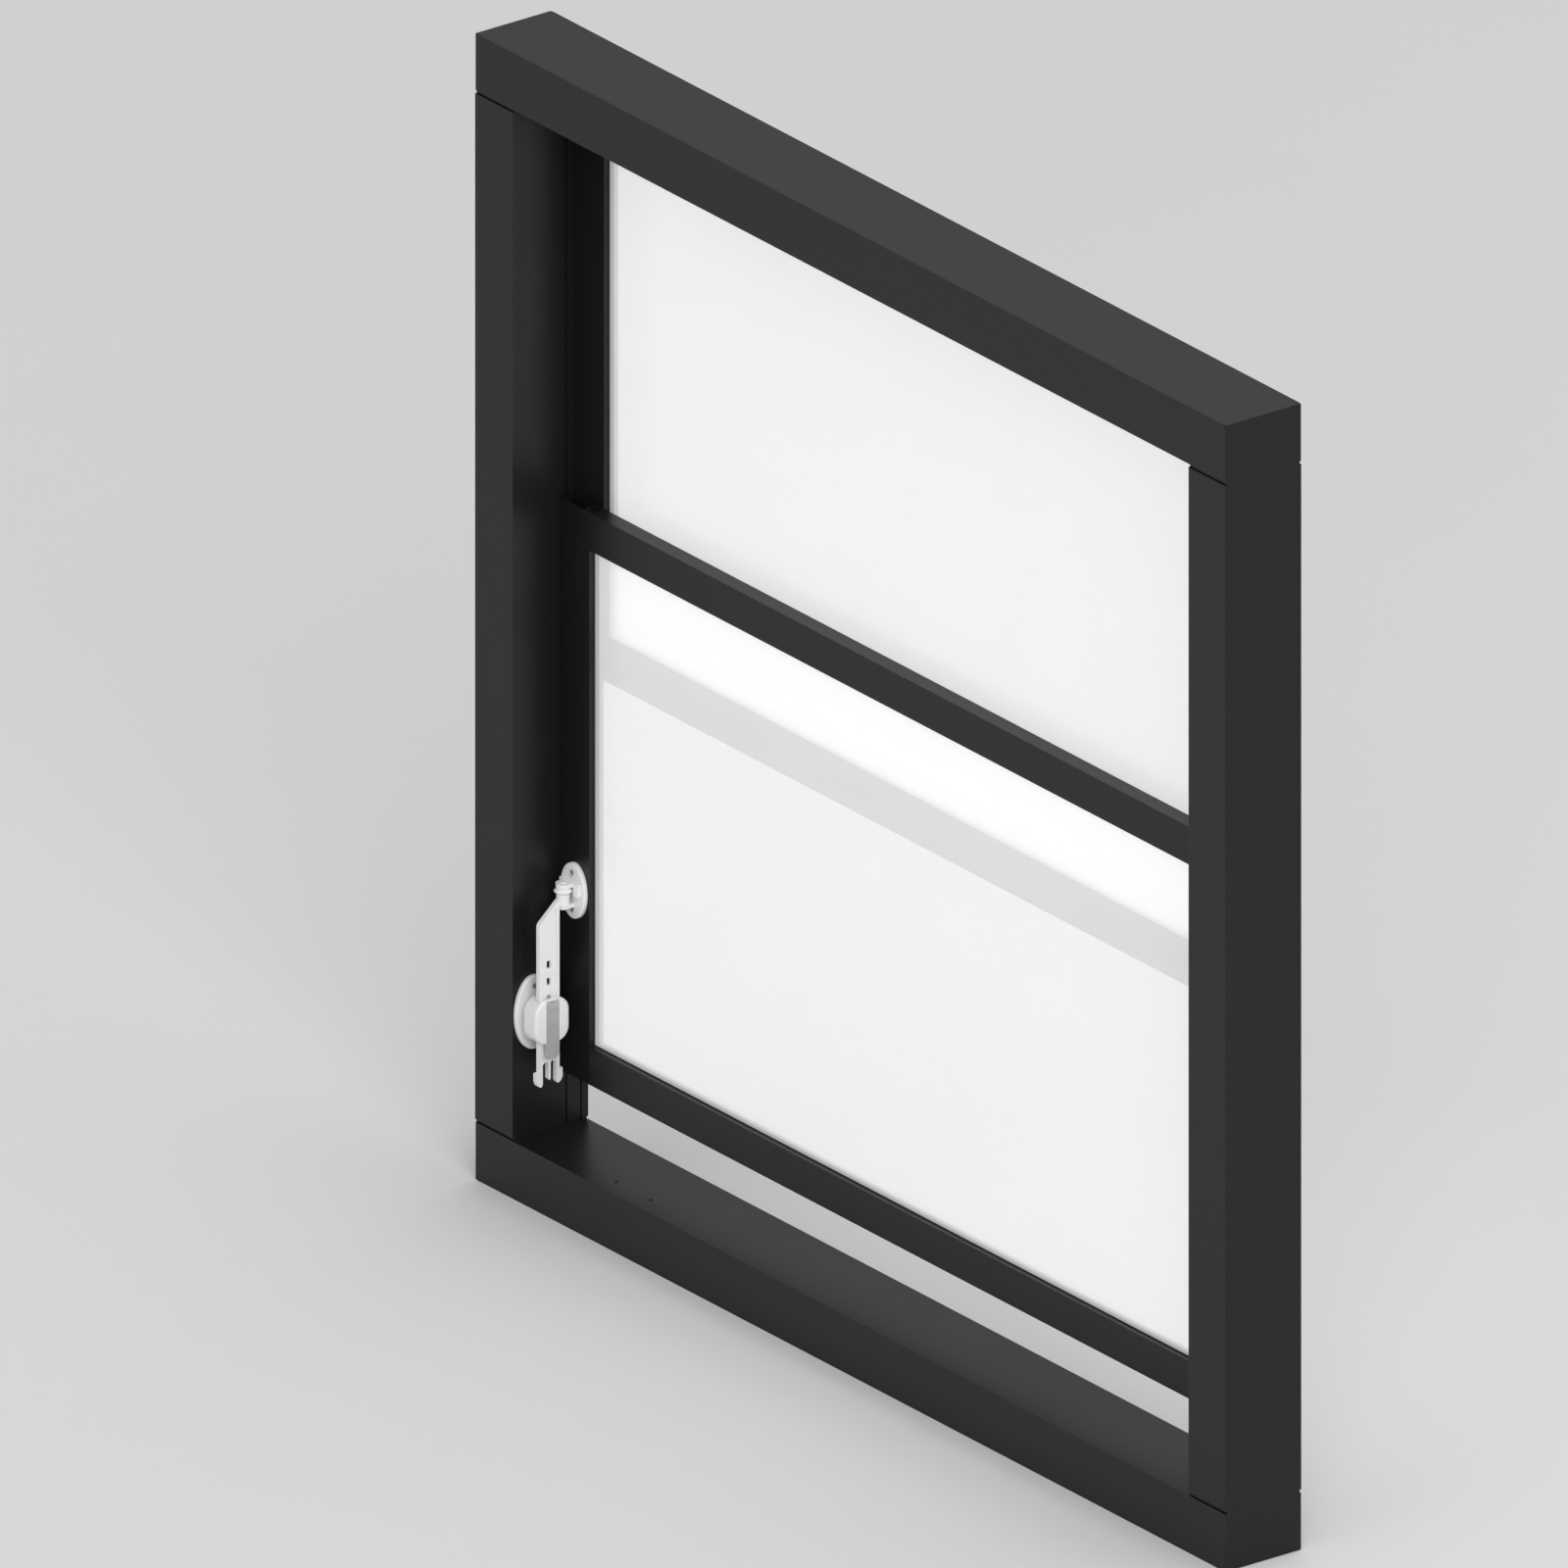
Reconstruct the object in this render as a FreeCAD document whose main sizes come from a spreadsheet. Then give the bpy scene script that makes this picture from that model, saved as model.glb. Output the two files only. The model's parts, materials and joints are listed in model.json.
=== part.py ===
import FreeCAD, Part
import operator
import os
from types import SimpleNamespace

import Sketcher

# A vertical sliding window: two sashes in a square frame, and an adjustable opening restrictor
# on the left jamb.
# Millimetres, +Z up, +Y outdoors. The origin is the middle of the sill's underside.

Vector, Rotation, Placement = FreeCAD.Vector, FreeCAD.Rotation, FreeCAD.Placement

DRIVING = {
    # Outer frame: hollow extrusions, a shadow seam at each jamb end
    "frame_width": 1000,
    "frame_height": 1000,
    "frame_depth": 76,
    "frame_face": 50,
    "frame_wall": 2.5,
    "cap_spigot": 12,
    "seam_height": 2.6,
    "seam_depth": 1.5,
    "corner_block_height": 40,
    "corner_screw_radius": 2.5,
    "corner_pilot_depth": 24,
    "screw_tip_gap": 1,
    # Holes in the sill: a pair on top for a stay, a pair underneath that fixes the frame
    "stay_hole_centre": -311,
    "stay_hole_spacing": 46,
    "stay_hole_front": 16.6,
    "stay_hole_radius": 1.5,
    "sill_fixing_spacing": 600,
    "sill_fixing_radius": 3.25,
    # Sash tracks inside the jambs
    "lower_sash_front": 8.9,
    "track_pitch": 14.7,
    "track_width": 13,
    "track_slot": 1.4,
    "back_track_width": 11.3,
    # Sashes
    "sash_thickness": 14.2,
    "sash_wall": 1.6,
    "sash_side_gap": 0.5,
    "stile_sight": 40,
    "rail_height": 33,
    "upper_bottom_rail_height": 36,
    "sash_height": 499,
    "lower_sash_bottom": 101,
    "upper_sash_bottom": 450,
    "glass_groove_depth": 8,
    "glass_groove_lip": 4.1,
    "gasket_thickness": 1.5,
    "gasket_lip": 0.8,
    "glass_thickness": 4,
    "glass_cover": 6,
    "setting_block_length": 60,
    "setting_block_lip": 1,
    "cleat_length": 30,
    "cleat_fit": 0.1,
    "cleat_screw_radius": 2,
    "cleat_screw_head": 2.4,
    "cleat_screw_short": 4,
    "driver_hole_play": 0.4,
    "screw_hole_play": 0.2,
    "seal_height": 0.95,
    "seal_width": 9,
    "seal_end_gap": 2,
    "pile_height": 6,
    "pile_root": 1,
    "pile_proud": 0.42,
    # Guide shoes and constant-force balances
    "shoe_depth": 39.5,
    "shoe_height": 40,
    "shoe_neck": 1,
    "shoe_wall_gap": 0.5,
    "shoe_flange": 8,
    "slit_play": 0.1,
    "guide_width": 9,
    "shoe_end_gap": 30,
    "carrier_height": 46,
    "carrier_rise": 28,
    "coil_radius": 15,
    "coil_bore": 9,
    "coil_width": 8.6,
    "coil_gap": 0.4,
    "cradle_gap": 0.8,
    "ribbon_thickness": 0.3,
    "ribbon_wall_gap": 0.9,
    "lower_anchor_height": 560,
    "upper_anchor_height": 925,
    "anchor_height": 14,
    "anchor_lead": 2,
    # Restrictor: sash bracket
    "hinge_x": -428,
    "hinge_y": -4,
    "pad_thickness": 1,
    "plate_thickness": 3,
    "plate_soft_edge": 1.2,
    "sash_plate_width": 32,
    "sash_plate_height": 48,
    "sash_plate_centre": 265,
    "sash_plate_hole_offset": 16,
    "plate_screw_radius": 1.6,
    "plate_screw_head": 2.4,
    "sash_plate_screw_length": 9,
    "jamb_plate_screw_length": 10,
    "ear_thickness": 3.5,
    "ear_radius": 6,
    "lower_ear_radius": 3.4,
    "lower_ear_bottom": 252,
    "upper_ear_bottom": 271,
    "ear_root": 1,
    "cheek_width": 24,
    "cheek_height": 11,
    "cheek_reach": 3.6,
    "cheek_gap": 0.6,
    "window_width": 4,
    "window_height": 2.6,
    "window_offset": 4.5,
    "hinge_pin_radius": 2,
    "hinge_pin_head_lip": 1,
    "hinge_pin_head_height": 1.2,
    "hinge_clearance": 0.05,
    "knuckle_radius": 5.5,
    "knuckle_ridge": 7.6,
    "knuckle_end_gap": 0.3,
    "ridge_half": 2.5,
    "ridge_drop": 3,
    # Restrictor: strap
    "strap_back": -431,
    "strap_thickness": 4.5,
    "strap_width": 20,
    "strap_centre": -18.5,
    "strap_rim": 3,
    "strap_recess": 1.2,
    "strap_straight_top": 242.5,
    "strap_web_bottom": 123,
    "slot_width": 4,
    "slot_height": 6.5,
    "slot_pitch": 14.8,
    "slot_top": 206.8,
    "slot_count": 6,
    "leg_width": 3.2,
    "leg_bottom": 102,
    "barb_reach": 3,
    "barb_height": 12.5,
    "prong_half": 1.1,
    "prong_bottom": 106.5,
    "recess_end": 3,
    "rung_half": 2,
    # Restrictor: jamb plate and slider
    "jamb_plate_width": 37,
    "jamb_plate_height": 64,
    "jamb_plate_centre": 159,
    "jamb_plate_hole_offset": 23,
    "swivel_height": 160,
    "swivel_boss_radius": 9,
    "swivel_pin_radius": 2.5,
    "swivel_head_radius": 5,
    "swivel_head_height": 2,
    "swivel_head_gap": 0.2,
    "boss_gap": 0.3,
    "slider_back": -438,
    "slider_split": -429,
    "slider_front": -422,
    "slider_width": 34,
    "slider_bottom": 139.8,
    "slider_height": 38.3,
    "slider_corner": 12,
    "slider_soft_edge": 2.5,
    "slider_wall": 2,
    "slider_screw_radius": 1,
    "slider_screw_side": 3.6,
    "slider_screw_end": 13,
    "slider_screw_seat": 2,
    "slider_screw_sunk": 0.6,
    "slider_screw_cover": 2.5,
    "strap_side_clearance": 0.7,
    "strap_face_clearance": 0.6,
    "lever_width": 12.3,
    "lever_thickness": 3,
    "lever_proud": 0.4,
    "lever_pivot_height": 174.6,
    "lever_tail": 127,
    "lever_side_gap": 0.3,
    "lever_tail_radius": 7,
    "lever_tail_rise": 6.5,
    "finger_line_level": 168.4,
    "finger_line_height": 1.4,
    "finger_line_depth": 0.5,
    "lever_pin_radius": 0.8,
    "lever_pin_reach": 2.5,
    "spring_room_half": 2.2,
    "spring_room_rise": 1.3,
    "spring_cover": 0.35,
    "spring_wire": 0.15,
    "spring_end_gap": 0.3,
    "grip_depth": 0.4,
    "grip_half": 3,
    "grip_pitch": 1.8,
    "grip_width": 0.8,
    "tooth_height": 4,
    "tooth_width": 4,
    "tooth_level": 154,
    "tooth_clearance": 0.25,
}


class Size:
    """A length and its formula on the sheet, so that a sum of lengths stays bound to the sheet."""

    def __init__(self, value, formula=None):
        self.value = float(value)
        self.formula = formula or f"({value})"

    def combine(self, sign, other, swapped=False):
        work = {"+": operator.add, "-": operator.sub, "*": operator.mul, "/": operator.truediv}[sign]
        left, right = (as_size(other), self) if swapped else (self, as_size(other))
        return Size(work(left.value, right.value), f"({left.formula} {sign} {right.formula})")

    def __add__(self, other):
        return self.combine("+", other)

    def __radd__(self, other):
        return self.combine("+", other, swapped=True)

    def __sub__(self, other):
        return self.combine("-", other)

    def __rsub__(self, other):
        return self.combine("-", other, swapped=True)

    def __mul__(self, other):
        return self.combine("*", other)

    def __rmul__(self, other):
        return self.combine("*", other, swapped=True)

    def __truediv__(self, other):
        return self.combine("/", other)

    def __neg__(self):
        return self.combine("*", -1)


def as_size(length):
    return length if isinstance(length, Size) else Size(length)


doc = FreeCAD.newDocument("SlidingWindow")
sheet = doc.addObject("Spreadsheet::Sheet", "Sizes")
size = SimpleNamespace()
for row, (alias, value) in enumerate(DRIVING.items(), start=1):
    sheet.set(f"A{row}", alias)
    sheet.set(f"B{row}", str(value))
    sheet.setAlias(f"B{row}", alias)
    setattr(size, alias, Size(value, f"Sizes.{alias}"))
doc.recompute()

sub_parts = []


# ---- Making and joining solids ----


def bind(thing, field, length):
    thing.setExpression(field, as_size(length).formula)


def in_order(limits):
    return sorted(limits, key=lambda limit: as_size(limit).value)


def box(name, x, y, z):
    """A block between two limits on each axis, given in either order."""
    solid = doc.addObject("Part::Box", name)
    for axis, field, limits in zip("xyz", ("Length", "Width", "Height"), (x, y, z)):
        low, high = in_order(limits)
        bind(solid, f"Placement.Base.{axis}", low)
        bind(solid, field, as_size(high) - low)
    return solid


ALONG = {
    "x": Rotation(Vector(0, 1, 0), 90),
    "y": Rotation(Vector(1, 0, 0), -90),
    "z": Rotation(),
}


def stand_along(solid, axis, centre, start):
    """Turns a round solid along an axis. centre holds the two other coordinates, in X, Y, Z order."""
    solid.Placement = Placement(Vector(), ALONG[axis])
    places = dict(zip([a for a in "xyz" if a != axis], centre))
    places[axis] = start
    for edge, place in places.items():
        bind(solid, f"Placement.Base.{edge}", place)


def cylinder(name, axis, centre, span, radius):
    solid = doc.addObject("Part::Cylinder", name)
    low, high = in_order(span)
    bind(solid, "Radius", radius)
    bind(solid, "Height", as_size(high) - low)
    stand_along(solid, axis, centre, low)
    return solid


def cone(name, axis, centre, span, start_radius, end_radius):
    """A cone whose first radius belongs to the first limit of span."""
    low, high = in_order(span)
    if low is not span[0]:
        start_radius, end_radius = end_radius, start_radius
    solid = doc.addObject("Part::Cone", name)
    bind(solid, "Radius1", start_radius)
    bind(solid, "Radius2", end_radius)
    bind(solid, "Height", as_size(high) - low)
    stand_along(solid, axis, centre, low)
    return solid


def fuse(name, *solids):
    joined = doc.addObject("Part::MultiFuse", name)
    joined.Shapes = list(solids)
    joined.Refine = True
    return joined


def cut(name, base, *tools):
    """Takes every tool out of base."""
    taken = doc.addObject("Part::Cut", name)
    taken.Base = base
    taken.Tool = tools[0] if len(tools) == 1 else fuse(name + "_tools", *tools)
    return taken


def sub_part(node, *solids):
    """Names a finished piece. Several solids make one node of like pieces."""
    piece = solids[0]
    if len(solids) > 1:
        piece = doc.addObject("Part::Compound", node + "_set")
        piece.Links = list(solids)
    piece.Label = node
    sub_parts.append(piece)
    return piece


def round_edges(name, base, radius, wanted):
    """Fillets the edges of base that wanted(edge) picks."""
    doc.recompute()
    picked = [i for i, edge in enumerate(base.Shape.Edges, start=1) if wanted(edge)]
    rounded = doc.addObject("Part::Fillet", name)
    rounded.Base = base
    rounded.Edges = [(i, radius, radius) for i in picked]
    return rounded


# ---- Sketched bodies ----


def new_body(name):
    return doc.addObject("PartDesign::Body", name)


def sketch_on(body, name, plane, offset=0):
    """A sketch on one of the body's own origin planes, moved along the plane's normal."""
    sketch = body.newObject("Sketcher::SketchObject", name)
    face = next(f for f in body.Origin.OriginFeatures if f.Role == plane)
    sketch.AttachmentSupport = (face, [""])
    sketch.MapMode = "FlatFace"
    bind(sketch, "AttachmentOffset.Base.z", offset)
    return sketch


def hold_point(sketch, line, point):
    """Ties the start of a line to its two coordinates on the sheet."""
    for kind, place in zip(("DistanceX", "DistanceY"), point):
        number = sketch.addConstraint(Sketcher.Constraint(kind, -1, 1, line, 1, as_size(place).value))
        sketch.setExpression(f"Constraints[{number}]", as_size(place).formula)


def outline(sketch, points):
    """A closed straight-sided outline through points, each a pair of lengths."""
    places = [Vector(as_size(u).value, as_size(v).value) for u, v in points]
    ends = places[1:] + places[:1]
    lines = [sketch.addGeometry(Part.LineSegment(a, b)) for a, b in zip(places, ends)]
    for line, following in zip(lines, lines[1:] + lines[:1]):
        sketch.addConstraint(Sketcher.Constraint("Coincident", line, 2, following, 1))
    for line, point in zip(lines, points):
        hold_point(sketch, line, point)


def rectangle(sketch, across, up):
    outline(sketch, [(across[0], up[0]), (across[1], up[0]), (across[1], up[1]), (across[0], up[1])])


def pad(body, sketch, length):
    feature = body.newObject("PartDesign::Pad", sketch.Name + "_pad")
    feature.Profile = sketch
    bind(feature, "Length", length)
    return feature


def pocket(body, sketch, depth, backwards=False):
    feature = body.newObject("PartDesign::Pocket", sketch.Name + "_pocket")
    feature.Profile = sketch
    feature.Reversed = backwards
    bind(feature, "Length", depth)
    return feature


# ---- Places that many pieces share ----

half_width = size.frame_width / 2
half_depth = size.frame_depth / 2
opening_half = half_width - size.frame_face
opening_bottom = size.frame_face
opening_top = size.frame_height - size.frame_face
upper_sash_front = size.lower_sash_front + size.track_pitch
lower_track_centre = size.lower_sash_front + size.sash_thickness / 2
upper_track_centre = upper_sash_front + size.sash_thickness / 2
front_chamber_back = lower_track_centre - size.track_width / 2 - size.frame_wall
SIDES = {"left": -1, "right": 1}


# ---- Head and sill: hollow extrusions closed by end caps ----


def cross_member(name, bottom):
    """A hollow extrusion along X over the frame's whole width."""
    body = new_body(name + "_body")
    section = sketch_on(body, name + "_section", "YZ_Plane", -half_width)
    wall = size.frame_wall
    rectangle(section, (-half_depth, half_depth), (bottom, bottom + size.frame_face))
    rectangle(
        section,
        (wall - half_depth, half_depth - wall),
        (bottom + wall, bottom + size.frame_face - wall),
    )
    pad(body, section, size.frame_width)
    return body


def end_caps(node, bottom):
    """Two plates that close a cross member, each with a spigot that fits inside the extrusion."""
    caps = []
    wall = size.frame_wall
    fit = wall + size.cleat_fit
    for side_name, side in SIDES.items():
        name = f"{node}_{side_name}"
        plate = box(
            name + "_plate",
            (side * half_width, side * (half_width - wall)),
            (-half_depth, half_depth),
            (bottom, bottom + size.frame_face),
        )
        spigot = box(
            name + "_spigot",
            (side * (half_width - wall), side * (half_width - wall - size.cap_spigot)),
            (fit - half_depth, half_depth - fit),
            (bottom + fit, bottom + size.frame_face - fit),
        )
        caps.append(fuse(name, plate, spigot))
    sub_part(node, *caps)
    return caps


def cap_room(name, side, bottom):
    """The end slice of an extrusion that the cap's plate takes the place of."""
    return box(
        name,
        (side * half_width, side * (half_width - size.frame_wall)),
        (-half_depth, half_depth),
        (bottom, bottom + size.frame_face),
    )


corner_screw_places = [
    (side * (half_width - size.frame_face / 2), front * size.frame_face / 4 - size.frame_face / 4)
    for side in SIDES.values()
    for front in (-1, 1)
]


def corner_screw_holes(name, low, high):
    clearance = size.corner_screw_radius + 2 * size.hinge_clearance
    return [
        cylinder(f"{name}_{n}", "z", place, (low, high), clearance)
        for n, place in enumerate(corner_screw_places)
    ]


head_bottom = opening_top
head = cross_member("head", head_bottom)
sub_part(
    "frame_head",
    cut(
        "frame_head",
        head,
        cap_room("head_left_end", -1, head_bottom),
        cap_room("head_right_end", 1, head_bottom),
        *corner_screw_holes("head_screw_hole", head_bottom, head_bottom + size.frame_wall),
    ),
)
end_caps("head_end_caps", head_bottom)

sill = cross_member("sill", 0)
stay_holes = [
    cylinder(
        f"stay_hole_{n}",
        "z",
        (size.stay_hole_centre + end * size.stay_hole_spacing / 2, size.stay_hole_front - half_depth),
        (opening_bottom - size.frame_wall, opening_bottom),
        size.stay_hole_radius,
    )
    for n, end in enumerate((-1, 1))
]
sill_fixings = [
    cylinder(
        f"sill_fixing_{n}",
        "z",
        (end * size.sill_fixing_spacing / 2, 0),
        (0, size.frame_wall),
        size.sill_fixing_radius,
    )
    for n, end in enumerate((-1, 1))
]
sub_part(
    "frame_sill",
    cut(
        "frame_sill",
        sill,
        cap_room("sill_left_end", -1, 0),
        cap_room("sill_right_end", 1, 0),
        *corner_screw_holes("sill_screw_hole", opening_bottom - size.frame_wall, opening_bottom),
        *stay_holes,
        *sill_fixings,
    ),
)
end_caps("sill_end_caps", 0)


# ---- Jambs: a front chamber and two slotted tracks, with a shadow seam at each end ----


def jamb_outline(side, inset):
    """The jamb's section, whose two tracks open to the reveal through a narrow slot.
    inset sets back the front and back faces, which the shadow seam crosses."""
    outer = half_width
    reveal = opening_half
    near_wall = opening_half + size.frame_wall
    far_wall = half_width - size.frame_wall
    points = [(outer, inset - half_depth), (reveal, inset - half_depth)]
    tracks = (
        (lower_track_centre, lower_track_centre + size.track_width / 2),
        (upper_track_centre, upper_track_centre - size.track_width / 2 + size.back_track_width),
    )
    for centre, back in tracks:
        front = centre - size.track_width / 2
        slot_front = centre - size.track_slot / 2
        slot_back = centre + size.track_slot / 2
        points += [
            (reveal, slot_front),
            (near_wall, slot_front),
            (near_wall, front),
            (far_wall, front),
            (far_wall, back),
            (near_wall, back),
            (near_wall, slot_back),
            (reveal, slot_back),
        ]
    points += [(reveal, half_depth - inset), (outer, half_depth - inset)]
    return [(side * across, depth) for across, depth in points]


def jamb(side_name, side):
    body = new_body(side_name + "_jamb_body")
    layers = (
        ("neck", size.seam_depth, 0),
        ("full", as_size(0), size.seam_height),
    )
    for layer, inset, end_gap in layers:
        section = sketch_on(body, f"{side_name}_jamb_{layer}", "XY_Plane", opening_bottom + end_gap)
        outline(section, jamb_outline(side, inset))
        rectangle(
            section,
            (side * (opening_half + size.frame_wall), side * (half_width - size.frame_wall)),
            (size.frame_wall - half_depth, front_chamber_back),
        )
        pad(body, section, opening_top - opening_bottom - 2 * end_gap)
    return body


plate_screw_heights = [
    size.jamb_plate_centre + end * size.jamb_plate_hole_offset for end in (-1, 1)
]
jamb_screw_pilots = [
    cylinder(
        f"jamb_screw_pilot_{n}",
        "x",
        (size.strap_centre, height),
        (-opening_half - size.frame_wall, -opening_half),
        size.plate_screw_radius + size.hinge_clearance,
    )
    for n, height in enumerate(plate_screw_heights)
]
sub_part("left_jamb", cut("left_jamb", jamb("left", -1), *jamb_screw_pilots))
sub_part("right_jamb", jamb("right", 1))


# ---- Corner blocks and their screws, inside the jamb ends ----

corner_blocks = []
corner_screws = []
for side_name, side in SIDES.items():
    for end_name, end, start in (("foot", 1, opening_bottom), ("top", -1, opening_top)):
        name = f"{side_name}_{end_name}_block"
        fit = size.cleat_fit
        block = box(
            name + "_solid",
            (
                side * (opening_half + size.frame_wall + fit),
                side * (half_width - size.frame_wall - fit),
            ),
            (size.frame_wall + fit - half_depth, front_chamber_back - fit),
            (start, start + end * size.corner_block_height),
        )
        places = [p for p in corner_screw_places if as_size(p[0]).value * side > 0]
        pilots = [
            cylinder(
                f"{name}_pilot_{n}",
                "z",
                place,
                (start, start + end * size.corner_pilot_depth),
                size.corner_screw_radius + size.hinge_clearance,
            )
            for n, place in enumerate(places)
        ]
        corner_blocks.append(cut(name, block, *pilots))
        for n, place in enumerate(places):
            seat = start - end * size.frame_wall
            shank = cylinder(
                f"{name}_shank_{n}",
                "z",
                place,
                (seat, start + end * (size.corner_pilot_depth - size.screw_tip_gap)),
                size.corner_screw_radius,
            )
            screw_head = cylinder(
                f"{name}_head_{n}",
                "z",
                place,
                (seat, seat - end * size.frame_wall),
                2 * size.corner_screw_radius,
            )
            corner_screws.append(fuse(f"{name}_screw_{n}", shank, screw_head))
sub_part("corner_blocks", *corner_blocks)
sub_part("corner_block_screws", *corner_screws)


# ---- Sashes ----

sash_half = opening_half - size.sash_side_gap
sight_half = opening_half - size.stile_sight
stile_width = size.stile_sight - size.sash_side_gap
shoe_near = opening_half + size.frame_wall + size.shoe_wall_gap
shoe_far = opening_half + size.frame_wall + size.shoe_depth
ribbon_far = half_width - size.frame_wall - size.ribbon_wall_gap
ribbon_near = ribbon_far - size.ribbon_thickness
coil_centre = ribbon_near - size.coil_radius - size.coil_gap


def grooved_section(edge, sight, front):
    """The section of a stile or rail from its outer edge to the sight line, where the glass groove is."""
    inward = 1 if as_size(sight).value > as_size(edge).value else -1
    groove_bottom = sight - inward * size.glass_groove_depth
    groove_front = front + size.glass_groove_lip
    groove_back = groove_front + 2 * size.gasket_thickness + size.glass_thickness
    back = front + size.sash_thickness
    return [
        (edge, front),
        (sight, front),
        (sight, groove_front),
        (groove_bottom, groove_front),
        (groove_bottom, groove_back),
        (sight, groove_back),
        (sight, back),
        (edge, back),
    ]


def chamber(edge, sight):
    """The limits of the hollow between the outer wall and the wall behind the glass groove."""
    inward = 1 if as_size(sight).value > as_size(edge).value else -1
    far = sight - inward * (size.glass_groove_depth + size.sash_wall)
    return edge + inward * size.sash_wall, far


def guide_piece(name, side, centre, bottom, height):
    """A nylon block in the jamb track, with a neck through the slot and a flange inside the stile."""
    block = box(
        name + "_block",
        (side * shoe_near, side * shoe_far),
        (centre - size.guide_width / 2, centre + size.guide_width / 2),
        (bottom, bottom + height),
    )
    neck = box(
        name + "_neck",
        (side * shoe_near, side * (sash_half - size.sash_wall)),
        (centre - size.shoe_neck / 2, centre + size.shoe_neck / 2),
        (bottom, bottom + height),
    )
    flange = box(
        name + "_flange",
        (side * (sash_half - size.sash_wall), side * (sash_half - 2 * size.sash_wall)),
        (centre - size.shoe_flange / 2, centre + size.shoe_flange / 2),
        (bottom, bottom + height),
    )
    return [block, neck, flange]


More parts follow.
